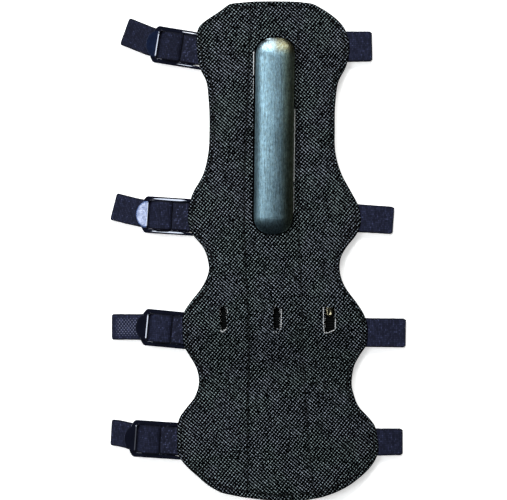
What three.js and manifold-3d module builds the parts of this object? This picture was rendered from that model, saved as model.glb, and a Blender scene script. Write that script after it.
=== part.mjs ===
// Archery arm guard, laid on its back. Millimetres, +Z up.
// +Y is the wrist end with the bar, +X the side where the elastic folds back,
// -X the side with the ladder-lock buckles.
import * as THREE from 'three';
import { mergeVertices } from 'three/addons/utils/BufferGeometryUtils.js';
import Module from 'manifold-3d';

const wasm = await Module();
wasm.setup();

// ---------------------------------------------------------------- sizes
const GAP = 0.35;            // clearance between pieces that touch
const COVER_T = 1.2;         // woven cover
const BACKING_T = 2.6;       // padded backing under the cover
const BACKING_INSET = 0.6;   // backing stops short of the cover's edge
const EDGE_Z = 3.1;          // underside of the backing at the lobes
const ARCH_STIFF = 8.8;      // rise of the arched half that holds the bar
const ARCH_SOFT = 6.6;       // rise of the soft half below the slits
const ARCH_FROM = -43;       // the arch sinks between these two heights
const ARCH_TO = -84;
const PUFF_STIFF = 1.2;      // puff of the sewn channels, upper half
const PUFF_SOFT = 0.7;       // and lower half

const STRAP_T = 1.3;         // elastic thickness
const STRAP_IN = 9;          // sewn length of an end inside the pad
const POCKET_FLOOR = 4.15;   // height of the recess that takes a sewn end
const SLAB_Z = 5.1;          // middle of a sewn end
const FLOOR_Z = STRAP_T / 2; // middle of the elastic where it lies flat
const RETURN_Z = 2.2;        // middle of the run that comes back to the buckle
const FOLD_Z = 2.6;          // middle of the upper run at the right fold

const LOOP_T = 1.0;          // webbing loop that holds a buckle
const LOOP_W = 18;
const BUCKLE = {
  width: 24, opening: 20, thick: 2.4,
  rearBar: 5.5, midFrom: 11.5, midTo: 19, frontFrom: 25.5, length: 29.7,
  barLine: 26.5, chamferV: 2.7, chamferW: 1.8, rearRadius: 1.8,
  rearLow: 0.5, rearHigh: 1.9,
  tabHalf: 8.5, tabReach: 7, tabLow: 1.0,
  rearZ: 2.5, pitch: 4.8 * Math.PI / 180,
};
const NOTCH = { width: 26, depth: 5 };   // backing cut back round a buckle

const BAR = { x: 10.25, top: 137.9, bottom: 11.2, half: 12.45, corner: 10.5, rim: 1.4, rise: 7.6, lean: 0.012 };
const WINDOW_CLEAR = 0.75;
const STAY = { xTop: 38.5, yTop: 124, xEnd: 46.3, yEnd: -41.6, half: 2.2, thick: 1.2, sunk: 0.7 };
const SLITS = [
  { x: -22.6, y: -43.0, wide: 4.6, tall: 15.6, lean: -3 },
  { x: 11.8, y: -43.0, wide: 4.7, tall: 14.0, lean: 0 },
  { x: 46.2, y: -44.2, wide: 6.8, tall: 16.4, lean: 0 },
];

// Outline of the pad: one row for each section from the wrist end down.
const SECTIONS = [
  { y: 161.5, left: -3.7, right: 24.9 },
  { y: 160.6, left: -18.6, right: 35.3 },
  { y: 158.0, left: -22.0, right: 40.4 },
  { y: 145.0, left: -39.3, right: 56.1 },
  { y: 139.1, left: -40.2, right: 58.4 },
  { y: 127.4, left: -39.4, right: 58.9 },
  { y: 120.5, left: -38.4, right: 57.2 },
  { y: 111.2, left: -33.9, right: 52.3 },
  { y: 98.8, left: -32.2, right: 50.2 },
  { y: 80.0, left: -31.6, right: 49.6 },
  { y: 62.4, left: -32.6, right: 50.3 },
  { y: 48.8, left: -36.3, right: 54.7 },
  { y: 38.4, left: -42.3, right: 60.5 },
  { y: 29.2, left: -45.0, right: 65.2 },
  { y: 13.0, left: -43.7, right: 64.9 },
  { y: 9.6, left: -41.6, right: 62.9 },
  { y: 4.5, left: -36.9, right: 58.4 },
  { y: -5.9, left: -32.5, right: 52.9 },
  { y: -10.4, left: -31.8, right: 52.6 },
  { y: -21.4, left: -35.4, right: 55.4 },
  { y: -34.5, left: -45.2, right: 64.7 },
  { y: -39.0, left: -48.2, right: 67.7 },
  { y: -46.8, left: -49.2, right: 70.6 },
  { y: -54.6, left: -49.0, right: 71.0 },
  { y: -62.4, left: -47.8, right: 69.5 },
  { y: -65.7, left: -45.9, right: 66.9 },
  { y: -72.8, left: -41.3, right: 62.7 },
  { y: -80.6, left: -38.7, right: 60.9 },
  { y: -88.4, left: -38.8, right: 60.7 },
  { y: -94.2, left: -40.9, right: 62.3 },
  { y: -102.0, left: -46.9, right: 66.0 },
  { y: -107.2, left: -50.9, right: 71.1 },
  { y: -112.0, left: -52.4, right: 75.1 },
  { y: -120.2, left: -52.6, right: 77.2 },
  { y: -132.6, left: -51.8, right: 77.3 },
  { y: -146.2, left: -39.2, right: 66.6 },
  { y: -154.1, left: -28.6, right: 54.9 },
  { y: -156.7, left: -23.2, right: 49.2 },
  { y: -159.2, left: -9.2, right: 41.2 },
  { y: -161.5, left: 11.2, right: 27.5 },
];

// The two lengthwise seams that make three channels.
const SEAMS = [
  { y: 161.5, left: -4.6, right: 26.0 },
  { y: 109.2, left: -5.6, right: 26.0 },
  { y: 65.7, left: -7.6, right: 26.8 },
  { y: 11.7, left: -8.3, right: 26.4 },
  { y: -25.4, left: -7.0, right: 28.1 },
  { y: -55.9, left: -6.1, right: 28.8 },
  { y: -114.4, left: -6.8, right: 32.0 },
  { y: -161.5, left: -6.8, right: 36.4 },
];

// One row for each fastened strap: where it leaves the pad and folds at the
// right, the buckle's bar line and turn, and the free tail at the left.
const STRAPS = [
  { rootX: 58.7, rootY: 133.4, tipX: 73.9, tipY: 133.7, stubW: 19.6, barX: -66.1, barY: 134.8, turn: 9.0, endX: -87.0, endY: 143.2, tailTurn: 19.5, tailW: 17.3 },
  { rootX: 65.0, rootY: 21.8, tipX: 87.9, tipY: 20.2, stubW: 18.0, barX: -72.6, barY: 24.1, turn: 3.7, endX: -94.3, endY: 29.1, tailTurn: 14.5, tailW: 17.3 },
  { rootX: 70.5, rootY: -52.7, tipX: 96.0, tipY: -53.1, stubW: 18.9, barX: -72.8, barY: -49.1, turn: 5.5, endX: -95.4, endY: -49.1, tailTurn: 0.0, tailW: 16.8 },
  { rootX: 77.2, rootY: -124.1, tipX: 94.4, tipY: -124.1, stubW: 17.4, barX: -80.2, barY: -121.4, turn: 4.0, endX: -95.8, endY: -117.8, tailTurn: 2.0, tailW: 17.0 },
];

// ---------------------------------------------------------------- curves
const clamp = (v, lo, hi) => Math.min(hi, Math.max(lo, v));
const smooth = (a, b, v) => { const t = clamp((v - a) / (b - a), 0, 1); return t * t * (3 - 2 * t); };
const rad = (deg) => deg * Math.PI / 180;

// Smooth value of a table's column at height y (rows run from +y to -y).
function column(table, key, y) {
  const n = table.length;
  const slope = (i) => {
    const d = (k) => (table[k + 1][key] - table[k][key]) / (table[k + 1].y - table[k].y);
    if (i === 0) return d(0);
    if (i === n - 1) return d(n - 2);
    const h0 = table[i].y - table[i - 1].y, h1 = table[i + 1].y - table[i].y;
    return (d(i - 1) * h1 + d(i) * h0) / (h0 + h1);
  };
  let i = 0;
  while (i < n - 2 && y < table[i + 1].y) i++;
  const h = table[i + 1].y - table[i].y, t = clamp((y - table[i].y) / h, 0, 1);
  return (2 * t ** 3 - 3 * t ** 2 + 1) * table[i][key] + (t ** 3 - 2 * t ** 2 + t) * h * slope(i)
    + (3 * t ** 2 - 2 * t ** 3) * table[i + 1][key] + (t ** 3 - t ** 2) * h * slope(i + 1);
}
const edgeLeft = (y) => column(SECTIONS, 'left', y);
const edgeRight = (y) => column(SECTIONS, 'right', y);

// Seam positions as shares of the section's width.
function seamShares(y) {
  const l = edgeLeft(y), w = edgeRight(y) - l;
  return [clamp((column(SEAMS, 'left', y) - l) / w, 0.2, 0.46), clamp((column(SEAMS, 'right', y) - l) / w, 0.56, 0.82)];
}

// ---------------------------------------------------------------- surfaces of the pad
function arch(x, y) {
  const middle = 9.4 + (139 - y) * 0.0125, half = 49.2 + (139 - y) * 0.0587;
  const u = (x - middle) / half, a = Math.max(0, 1 - u * u);
  const rise = ARCH_STIFF + (ARCH_SOFT - ARCH_STIFF) * smooth(-ARCH_FROM, -ARCH_TO, -y);
  return rise * a * a;
}
function puff(x, y) {
  const l = edgeLeft(y), w = edgeRight(y) - l, [a, b] = seamShares(y);
  const f = clamp((x - l) / w, 0, 1);
  const t = f < a ? f / a : f < b ? (f - a) / (b - a) : (f - b) / (1 - b);
  const ends = smooth(161.5, 154, Math.abs(y));
  const height = PUFF_STIFF + (PUFF_SOFT - PUFF_STIFF) * smooth(-ARCH_FROM, -ARCH_TO, -y);
  return height * ends * Math.max(0, Math.sin(Math.PI * t)) ** 0.8;
}
const backingLow = (x, y) => EDGE_Z + arch(x, y);
const backingTop = (x, y) => backingLow(x, y) + BACKING_T;
const coverLow = (x, y) => backingTop(x, y) + GAP + puff(x, y);
const coverTop = (x, y) => coverLow(x, y) + COVER_T;

// ---------------------------------------------------------------- builders
function closedMesh(positions, triangles) {
  const g = new THREE.BufferGeometry();
  g.setAttribute('position', new THREE.Float32BufferAttribute(positions, 3));
  g.setIndex(triangles);
  return g;
}

// A wall between a lower and an upper surface; rows of x stations from +y to -y.
function wall(rows, low, high) {
  const n = rows[0].xs.length, m = rows.length, p = [], f = [];
  for (const z of [high, low]) for (const r of rows) for (const x of r.xs) p.push(x, r.y, z(x, r.y));
  const T = (i, j) => i * n + j, B = (i, j) => m * n + i * n + j;
  const quad = (a, b, c, d) => f.push(a, b, c, a, c, d);
  for (let i = 0; i < m - 1; i++) {
    for (let j = 0; j < n - 1; j++) {
      quad(T(i, j), T(i + 1, j), T(i + 1, j + 1), T(i, j + 1));
      quad(B(i, j), B(i, j + 1), B(i + 1, j + 1), B(i + 1, j));
    }
    quad(T(i, 0), B(i, 0), B(i + 1, 0), T(i + 1, 0));
    quad(T(i, n - 1), T(i + 1, n - 1), B(i + 1, n - 1), B(i, n - 1));
  }
  for (let j = 0; j < n - 1; j++) {
    quad(T(0, j + 1), B(0, j + 1), B(0, j), T(0, j));
    quad(T(m - 1, j), B(m - 1, j), B(m - 1, j + 1), T(m - 1, j + 1));
  }
  return closedMesh(p, f);
}

// Heights of the sections: every table row, with the long gaps divided.
function heights(step, inset) {
  const ys = [];
  SECTIONS.forEach((row, i) => {
    ys.push(row.y);
    if (i === SECTIONS.length - 1) return;
    const gap = row.y - SECTIONS[i + 1].y, parts = Math.ceil(gap / step);
    for (let k = 1; k < parts; k++) ys.push(row.y - gap * k / parts);
  });
  return ys.map((y) => clamp(y, -161.5 + inset, 161.5 - inset));
}
function padRows(step, cells, inset) {
  return heights(step, inset).map((y) => {
    const l = edgeLeft(y) + inset, w = edgeRight(y) - inset - l, [a, b] = seamShares(y), xs = [];
    const marks = [0, a, b, 1];
    for (let k = 0; k < 3; k++) {
      for (let c = 0; c < cells; c++) xs.push(l + w * (marks[k] + (marks[k + 1] - marks[k]) * c / cells));
    }
    xs.push(l + w);
    return { y, xs };
  });
}

// A flat ribbon along stations {x, y, z, turn, width}.
function ribbon(stations, thick) {
  const p = [], f = [], last = stations.length - 1;
  stations.forEach((s, i) => {
    const a = stations[Math.max(0, i - 1)], b = stations[Math.min(last, i + 1)];
    const t = new THREE.Vector3(b.x - a.x, b.y - a.y, b.z - a.z).normalize();
    const w = new THREE.Vector3(Math.sin(s.turn), Math.cos(s.turn), 0);
    const n = new THREE.Vector3().crossVectors(t, w).normalize();
    for (const [u, v] of [[-1, -1], [1, -1], [1, 1], [-1, 1]]) {
      const q = new THREE.Vector3(s.x, s.y, s.z).addScaledVector(w, u * s.width / 2).addScaledVector(n, v * thick / 2);
      p.push(q.x, q.y, q.z);
    }
    if (i === 0) return;
    const o = 4 * (i - 1), e = 4 * i;
    for (let k = 0; k < 4; k++) {
      const k1 = (k + 1) % 4;
      f.push(o + k, o + k1, e + k1, o + k, e + k1, e + k);
    }
  });
  const e = 4 * last;
  f.push(0, 3, 2, 0, 2, 1, e, e + 1, e + 2, e, e + 2, e + 3);
  return closedMesh(p, f);
}

// Boolean joins and cuts.
function solid(geometry) {
  let g = geometry.clone();
  for (const name of Object.keys(g.attributes)) if (name !== 'position') g.deleteAttribute(name);
  g = mergeVertices(g, 1e-4);
  return new wasm.Manifold(new wasm.Mesh({
    numProp: 3,
    vertProperties: new Float32Array(g.attributes.position.array),
    triVerts: new Uint32Array(g.index.array),
  }));
}
function geometryOf(body) {
  const m = body.getMesh(), g = new THREE.BufferGeometry();
  g.setAttribute('position', new THREE.Float32BufferAttribute(m.vertProperties, 3));
  g.setIndex(Array.from(m.triVerts));
  return g;
}
function cut(geometry, cutters) {
  let body = solid(geometry);
  for (const c of cutters) body = body.subtract(solid(c));
  return geometryOf(body);
}
function boxAt(x0, x1, y0, y1, z0, z1) {
  return new THREE.BoxGeometry(x1 - x0, y1 - y0, z1 - z0).translate((x0 + x1) / 2, (y0 + y1) / 2, (z0 + z1) / 2);
}
function roundedOutline(halfX, halfY, corner, steps) {
  const s = new THREE.Shape(), k = [[1, 1, 0], [-1, 1, 90], [-1, -1, 180], [1, -1, 270]], pts = [];
  for (const [sx, sy, from] of k) {
    for (let i = 0; i <= steps; i++) {
      const a = rad(from + 90 * i / steps);
      pts.push(new THREE.Vector2(sx * (halfX - corner) + corner * Math.cos(a), sy * (halfY - corner) + corner * Math.sin(a)));
    }
  }
  s.setFromPoints(pts);
  return s;
}

// ---------------------------------------------------------------- pad
function windowPrism() {
  const halfY = (BAR.top - BAR.bottom) / 2 + WINDOW_CLEAR;
  const s = roundedOutline(BAR.half + WINDOW_CLEAR, halfY, BAR.corner + WINDOW_CLEAR, 6);
  return new THREE.ExtrudeGeometry(s, { depth: 40, bevelEnabled: false, steps: 1 })
    .rotateZ(-BAR.lean).translate(BAR.x, (BAR.top + BAR.bottom) / 2, 0);
}
function slitPrism(slit) {
  const s = roundedOutline(slit.wide / 2, slit.tall / 2, 0.9, 2);
  return new THREE.ExtrudeGeometry(s, { depth: 40, bevelEnabled: false, steps: 1 })
    .rotateZ(rad(-slit.lean)).translate(slit.x, slit.y, 0);
}
function stayRows(grow) {
  const rows = [], length = STAY.yTop - STAY.yEnd, half = STAY.half + grow, count = 18;
  const end = (d) => d >= half ? half : Math.sqrt(Math.max(0.04 * half * half, half * half - (half - d) ** 2));
  const cuts = [0, 0.25 * half, half];
  const ds = [...cuts];
  for (let k = 1; k < count; k++) ds.push(half + (length + 2 * grow - 2 * half) * k / count);
  ds.push(...cuts.map((c) => length + 2 * grow - c).reverse());
  for (const d of ds) {
    const y = STAY.yTop + grow - d, x = STAY.xTop + (STAY.xEnd - STAY.xTop) * (STAY.yTop - y) / length;
    const w = end(Math.min(d, length + 2 * grow - d));
    rows.push({ y, xs: [x - w, x, x + w] });
  }
  return rows;
}
function buckleRear(s) {
  const a = rad(s.turn);
  return { x: s.barX + BUCKLE.barLine * Math.cos(a), y: s.barY - BUCKLE.barLine * Math.sin(a), turn: a };
}
const stubTurn = (s) => Math.atan2(s.rootY - s.tipY, s.tipX - s.rootX);

function coverGeometry() {
  return cut(wall(padRows(7.5, 4, 0), coverLow, coverTop), [windowPrism(), ...SLITS.map(slitPrism)]);
}
function backingGeometry() {
  const cutters = [];
  for (const s of STRAPS) {
    const rear = buckleRear(s), edge = edgeLeft(rear.y) - rear.x, halfLoop = LOOP_W / 2 + GAP, halfStub = s.stubW / 2 + GAP;
    const atRight = (g) => g.rotateZ(-stubTurn(s)).translate(s.rootX, s.rootY, 0);
    const atLeft = (g) => g.rotateZ(-rear.turn).translate(rear.x, rear.y, 0);
    cutters.push(atRight(boxAt(-STRAP_IN - 0.6, 8, -halfStub, halfStub, POCKET_FLOOR, 30)));
    cutters.push(atLeft(boxAt(-8, edge + STRAP_IN + 0.9, -halfLoop, halfLoop, POCKET_FLOOR, 30)));
    cutters.push(atLeft(boxAt(-8, edge + NOTCH.depth, -NOTCH.width / 2, NOTCH.width / 2, 0, 30)));
  }
  cutters.push(wall(stayRows(0.4), (x, y) => backingTop(x, y) - STAY.sunk - 0.3, () => 40));
  return cut(wall(padRows(9, 3, BACKING_INSET), backingLow, backingTop), cutters);
}
function barGeometry() {
  const rows = [], steps = 6, columns = 10, mid = (BAR.top + BAR.bottom) / 2, halfY = (BAR.top - BAR.bottom) / 2;
  const ds = [];
  for (let i = 0; i <= steps; i++) ds.push(BAR.corner * (1 - Math.cos(Math.PI / 2 * i / steps)));
  const straight = 2 * halfY - 2 * BAR.corner, parts = 8;
  for (let i = 1; i < parts; i++) ds.push(BAR.corner + straight * i / parts);
  for (let i = steps; i >= 0; i--) ds.push(2 * halfY - BAR.corner * (1 - Math.cos(Math.PI / 2 * i / steps)));
  const inset = (d) => { const e = Math.min(d, 2 * halfY - d); return e >= BAR.corner ? 0 : BAR.corner - Math.sqrt(BAR.corner ** 2 - (BAR.corner - e) ** 2); };
  const axis = (y) => BAR.x + BAR.lean * (y - mid);
  for (const d of ds) {
    const half = BAR.half - inset(d), xs = [], y = BAR.top - d;
    for (let c = 0; c <= columns; c++) xs.push(axis(y) - half * Math.cos(Math.PI * c / columns));
    rows.push({ y, xs });
  }
  const low = (x, y) => backingTop(x, y) + GAP;
  const high = (x, y) => {
    const e = Math.min(BAR.top - y, y - BAR.bottom), u = (x - axis(y)) / BAR.half;
    const across = Math.sqrt(Math.max(0, 1 - u * u));
    const along = e >= BAR.corner ? 1 : Math.sqrt(Math.max(0, 1 - ((BAR.corner - e) / BAR.corner) ** 2 * 0.92));
    return backingTop(BAR.x, mid) + GAP + BAR.rim + (BAR.rise - BAR.rim) * Math.max(0, across * along) ** 0.9;
  };
  return wall(rows, low, high);
}
function stayGeometry() {
  const low = (x, y) => backingTop(x, y) - STAY.sunk;
  return wall(stayRows(0), low, (x, y) => low(x, y) + STAY.thick);
}

// ---------------------------------------------------------------- buckles, loops, straps
// A point of a buckle: v along it from its rear end, h above its underside.
function buckleSide(v, h) {
  return { s: v * Math.cos(BUCKLE.pitch) - h * Math.sin(BUCKLE.pitch), z: BUCKLE.rearZ + v * Math.sin(BUCKLE.pitch) + h * Math.cos(BUCKLE.pitch) };
}
const outward = (turn) => new THREE.Vector3(-Math.cos(turn), Math.sin(turn), 0);
const across = (turn) => new THREE.Vector3(Math.sin(turn), Math.cos(turn), 0);

function buckleGeometry() {
  const b = BUCKLE, hw = b.width / 2, ho = b.opening / 2, frame = new THREE.Shape(), pts = [];
  for (let i = 0; i <= 4; i++) {
    const a = rad(180 + 90 * i / 4);
    pts.push(new THREE.Vector2(b.rearRadius + b.rearRadius * Math.cos(a), -hw + b.rearRadius + b.rearRadius * Math.sin(a)));
  }
  pts.push(new THREE.Vector2(b.length - b.chamferV, -hw), new THREE.Vector2(b.length, -hw + b.chamferW + 2));
  pts.push(new THREE.Vector2(b.length, hw - b.chamferW - 2), new THREE.Vector2(b.length - b.chamferV, hw));
  for (let i = 0; i <= 4; i++) {
    const a = rad(90 + 90 * i / 4);
    pts.push(new THREE.Vector2(b.rearRadius + b.rearRadius * Math.cos(a), hw - b.rearRadius + b.rearRadius * Math.sin(a)));
  }
  frame.setFromPoints(pts);
  const tab = new THREE.Shape();
  const arcPts = [];
  for (let i = 0; i <= 10; i++) {
    const a = rad(-90 + 180 * i / 10);
    arcPts.push(new THREE.Vector2(b.barLine + b.tabReach * Math.cos(a), b.tabHalf * Math.sin(a)));
  }
  tab.setFromPoints(arcPts);
  const frameBody = solid(new THREE.ExtrudeGeometry(frame, { depth: b.thick, bevelEnabled: false, steps: 1 }));
  const tabBody = solid(new THREE.ExtrudeGeometry(tab, { depth: b.thick - b.tabLow, bevelEnabled: false, steps: 1 }).translate(0, 0, b.tabLow));
  // Two slots, and a bar for the loop that is thinner than the rails.
  const room = [
    boxAt(b.rearBar, b.midFrom, -ho, ho, -5, 9), boxAt(b.midTo, b.frontFrom, -ho, ho, -5, 9),
    boxAt(-1, b.rearBar + 0.01, -ho, ho, b.rearHigh, 9), boxAt(-1, b.rearBar + 0.01, -ho, ho, -5, b.rearLow),
  ];
  return geometryOf(room.reduce((body, r) => body.subtract(solid(r)), frameBody.add(tabBody)));
}

function loopGeometry(edgeGap) {
  const b = BUCKLE, clear = 0.25, ring = (grow) => {
    const v0 = -clear - grow, v1 = b.rearBar + clear + grow, h0 = b.rearLow - clear - grow, h1 = b.rearHigh + clear + grow;
    const r = clear + grow, pts = [];
    for (const [cv, ch, from] of [[v1 - r, h1 - r, 0], [v0 + r, h1 - r, 90], [v0 + r, h0 + r, 180], [v1 - r, h0 + r, 270]]) {
      for (let i = 0; i <= 3; i++) {
        const a = rad(from + 90 * i / 3), q = buckleSide(cv + r * Math.cos(a), ch + r * Math.sin(a));
        pts.push(new THREE.Vector2(q.s, q.z));
      }
    }
    return pts;
  };
  const outline = new THREE.Shape().setFromPoints(ring(LOOP_T));
  outline.holes.push(new THREE.Path().setFromPoints(ring(0)));
  const depth = { depth: LOOP_W, bevelEnabled: false, steps: 1 };
  const tail = new THREE.Shape().setFromPoints([
    new THREE.Vector2(-STRAP_IN - edgeGap, SLAB_Z - 0.55), new THREE.Vector2(0.2, SLAB_Z - 0.55),
    new THREE.Vector2(1.2, SLAB_Z - 0.2), new THREE.Vector2(0.6, SLAB_Z + 0.42), new THREE.Vector2(-STRAP_IN - edgeGap, SLAB_Z + 0.55)]);
  const joined = solid(new THREE.ExtrudeGeometry(outline, depth)).add(solid(new THREE.ExtrudeGeometry(tail, depth)));
  // Nothing of the sewn tail reaches into the room of the bar.
  const room = new THREE.Shape().setFromPoints(ring(0));
  return geometryOf(joined.subtract(solid(new THREE.ExtrudeGeometry(room, depth))));
}

function hermite(p0, d0, p1, d1, t) {
  const a = 2 * t ** 3 - 3 * t ** 2 + 1, b = t ** 3 - 2 * t ** 2 + t, c = 3 * t ** 2 - 2 * t ** 3, d = t ** 3 - t ** 2;
  return a * p0 + b * d0 + c * p1 + d * d1;
}

function strapStations(s) {
  const out = [], rear = buckleRear(s), right = stubTurn(s);
  const add = (x, y, z, turn, width) => out.push({ x, y, z, turn, width });
  const stubY = (x) => s.rootY + (s.rootX - x) * Math.tan(right);
  // sewn end, stub and fold at the right
  const foldR = (FOLD_Z - FLOOR_Z) / 2, foldX = s.tipX - STRAP_T / 2 - foldR;
  add(s.rootX - STRAP_IN, stubY(s.rootX - STRAP_IN), SLAB_Z, right, s.stubW);
  add(s.rootX + 0.6, stubY(s.rootX + 0.6), SLAB_Z, right, s.stubW);
  for (let i = 1; i <= 6; i++) {
    const t = i / 6, x = s.rootX + 0.6 + (foldX - s.rootX - 0.6) * t;
    add(x, stubY(x), SLAB_Z + (FOLD_Z - SLAB_Z) * smooth(0, 1, t), right, s.stubW);
  }
  for (let i = 1; i <= 6; i++) {
    const a = Math.PI / 2 - Math.PI * i / 6, x = foldX + foldR * Math.cos(a);
    add(x, stubY(x), (FOLD_Z + FLOOR_Z) / 2 + foldR * Math.sin(a), right, s.stubW);
  }
  // flat run under the pad to the fold below the buckle
  const axis = outward(rear.turn), at = (d) => ({ x: rear.x + axis.x * d, y: rear.y + axis.y * d });
  const fold = 26.6, end = at(fold), start = out[out.length - 1], span = start.x - end.x;
  const widthAt = (t) => s.stubW + (s.tailW - s.stubW) * t;
  for (let i = 1; i <= 10; i++) {
    const t = i / 10, x = start.x - span * t;
    const y = hermite(start.y, span * Math.tan(right), end.y, span * Math.tan(rear.turn), t);
    const y2 = hermite(start.y, span * Math.tan(right), end.y, span * Math.tan(rear.turn), t - 0.01);
    add(x, y, FLOOR_Z, Math.atan2(y - y2, span * 0.01), widthAt(t * 0.6));
  }
  const w = (t) => widthAt(0.6 + 0.4 * t);
  const side = (d, z, t) => { const p = at(d); add(p.x, p.y, z, rear.turn, w(t)); };
  const backR = (RETURN_Z - FLOOR_Z) / 2;
  for (let i = 1; i <= 5; i++) {
    const a = -Math.PI / 2 + Math.PI * i / 5;
    side(fold + backR * Math.cos(a), FLOOR_Z + backR + backR * Math.sin(a), 0.1);
  }
  // up behind the middle bar and over it
  const above = BUCKLE.thick + 0.3 + STRAP_T / 2, below = -0.3 - STRAP_T / 2;
  const top = buckleSide(12.1, above), turnR = (top.z - RETURN_Z) / 2;
  side(18, RETURN_Z, 0.2);
  for (let i = 0; i <= 8; i++) {
    const a = -Math.PI / 2 - Math.PI * i / 8;
    side(top.s + turnR * Math.cos(a), RETURN_Z + turnR + turnR * Math.sin(a), 0.3);
  }
  // over the bar, down the front slot, out as the free tail
  const from = buckleSide(15, above), p0 = at(from.s), tail = rad(s.tailTurn);
  const reach = Math.hypot(s.endX - p0.x, s.endY - p0.y), d1 = outward(tail);
  const dive = 11, steps = 12, marks = [0, 2 / reach];
  for (let i = 1; i <= steps; i++) marks.push((2 + (dive - 2) * i / steps) / reach);
  marks.push(14 / reach, 0.6, 0.8, 1);
  for (const t of marks) {
    const x = hermite(p0.x, axis.x * reach, s.endX, d1.x * reach, t), y = hermite(p0.y, axis.y * reach, s.endY, d1.y * reach, t);
    const x2 = hermite(p0.x, axis.x * reach, s.endX, d1.x * reach, t + 0.01), y2 = hermite(p0.y, axis.y * reach, s.endY, d1.y * reach, t + 0.01);
    const d = (x - rear.x) * axis.x + (y - rear.y) * axis.y;
    const h = above + (below - above) * smooth(18.4, 24.9, d);
    const z = d < 29 ? buckleSide(d, h).z : buckleSide(29, below).z - 1.3 * smooth(29, 48, d);
    add(x, y, z, Math.atan2(y2 - y, x - x2), w(0.4 + 0.6 * t));
  }
  return out;
}

// ---------------------------------------------------------------- assembly
const finish = (color, roughness, metalness) => new THREE.MeshStandardMaterial({ color, roughness, metalness });
const FABRIC = finish(0x2b2f32, 0.9, 0);
const LINING = finish(0x1d2023, 0.95, 0);
const METAL = finish(0x8ea5b0, 0.35, 1);
const STEEL = finish(0xb9ae95, 0.3, 1);
const ELASTIC = finish(0x232639, 0.85, 0);
const WEBBING = finish(0x20232f, 0.85, 0);
const PLASTIC = finish(0x14161f, 0.3, 0);

const guard = new THREE.Group();
function piece(name, geometry, material) {
  const m = new THREE.Mesh(geometry, material);
  m.name = name;
  guard.add(m);
  return m;
}
piece('front_cover', coverGeometry(), FABRIC);
piece('backing', backingGeometry(), LINING);
piece('guard_bar', barGeometry(), METAL);
piece('side_stay', stayGeometry(), STEEL);
STRAPS.forEach((s, i) => {
  const n = i + 1, rear = buckleRear(s), out = outward(rear.turn), side = across(rear.turn);
  piece(`strap_${n}`, ribbon(strapStations(s), STRAP_T), ELASTIC);
  const tilt = new THREE.Vector3(out.x * Math.cos(BUCKLE.pitch), out.y * Math.cos(BUCKLE.pitch), Math.sin(BUCKLE.pitch));
  const lateral = side.clone().negate(), normal = new THREE.Vector3().crossVectors(tilt, lateral);
  const buckle = piece(`buckle_${n}`, buckleGeometry(), PLASTIC);
  buckle.quaternion.setFromRotationMatrix(new THREE.Matrix4().makeBasis(tilt, lateral, normal));
  buckle.position.set(rear.x, rear.y, BUCKLE.rearZ);
  const edgeGap = edgeLeft(rear.y) - rear.x;
  const loop = piece(`buckle_loop_${n}`, loopGeometry(edgeGap), WEBBING);
  loop.quaternion.setFromRotationMatrix(new THREE.Matrix4().makeBasis(out, new THREE.Vector3(0, 0, 1), side));
  loop.position.set(rear.x - side.x * LOOP_W / 2, rear.y - side.y * LOOP_W / 2, 0);
});

// The middle of the whole guard stands over the origin.
const box = new THREE.Box3().setFromObject(guard, true);
guard.position.set(-(box.min.x + box.max.x) / 2, -(box.min.y + box.max.y) / 2, -box.min.z);

export default guard;
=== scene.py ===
import math

import bpy
import numpy as np
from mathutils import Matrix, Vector, noise
from mathutils.kdtree import KDTree
from mathutils.geometry import delaunay_2d_cdt


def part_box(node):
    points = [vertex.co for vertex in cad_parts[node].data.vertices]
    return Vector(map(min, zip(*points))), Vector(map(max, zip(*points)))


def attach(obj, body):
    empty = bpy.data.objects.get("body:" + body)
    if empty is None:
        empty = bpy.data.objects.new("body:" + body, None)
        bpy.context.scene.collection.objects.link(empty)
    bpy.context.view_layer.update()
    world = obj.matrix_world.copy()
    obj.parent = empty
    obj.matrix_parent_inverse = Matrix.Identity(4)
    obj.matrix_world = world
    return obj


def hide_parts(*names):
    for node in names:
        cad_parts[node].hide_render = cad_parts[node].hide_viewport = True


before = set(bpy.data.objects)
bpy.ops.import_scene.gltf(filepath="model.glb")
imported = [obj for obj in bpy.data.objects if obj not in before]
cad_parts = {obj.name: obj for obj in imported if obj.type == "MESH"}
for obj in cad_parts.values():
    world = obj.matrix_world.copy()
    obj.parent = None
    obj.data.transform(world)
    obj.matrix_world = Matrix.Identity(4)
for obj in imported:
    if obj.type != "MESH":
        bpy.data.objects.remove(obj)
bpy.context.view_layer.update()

MM = 0.001
RNG = np.random.default_rng(11)

# ---------------------------------------------------------------- sizes, in millimetres
GAP, COVER_T, BACKING_T, BACKING_INSET, EDGE_Z = 0.35, 1.2, 2.6, 0.6, 3.1
ARCH_STIFF, ARCH_SOFT, ARCH_FROM, ARCH_TO = 8.8, 6.6, -43.0, -84.0
PUFF_STIFF, PUFF_SOFT = 1.2, 0.7
STRAP_T, STRAP_IN, POCKET_FLOOR, SLAB_Z = 1.3, 9.0, 4.15, 5.1
FLOOR_Z, RETURN_Z, FOLD_Z = STRAP_T / 2, 2.2, 2.6
LOOP_T, LOOP_W = 1.0, 18.0
BAND_W = 18.1                    # width of the straps where they fill the buckles
BUCKLE = dict(width=24.0, opening=20.0, thick=2.4, rear_bar=5.5, mid_from=11.5, mid_to=19.0,
              front_from=25.5, length=29.7, bar_line=26.5, chamfer_v=2.7, chamfer_w=3.8,
              rear_radius=1.8, rear_low=0.5, rear_high=1.9, tab_half=8.5, tab_reach=7.0,
              tab_low=1.0, rear_z=2.5, pitch=math.radians(4.8))
NOTCH_W, NOTCH_D = 26.0, 5.0
BAR = dict(x=10.25, top=137.9, bottom=11.2, half=12.45, corner=10.5, rim=1.4, rise=7.6, lean=0.012)
WINDOW_CLEAR = 0.75
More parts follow.
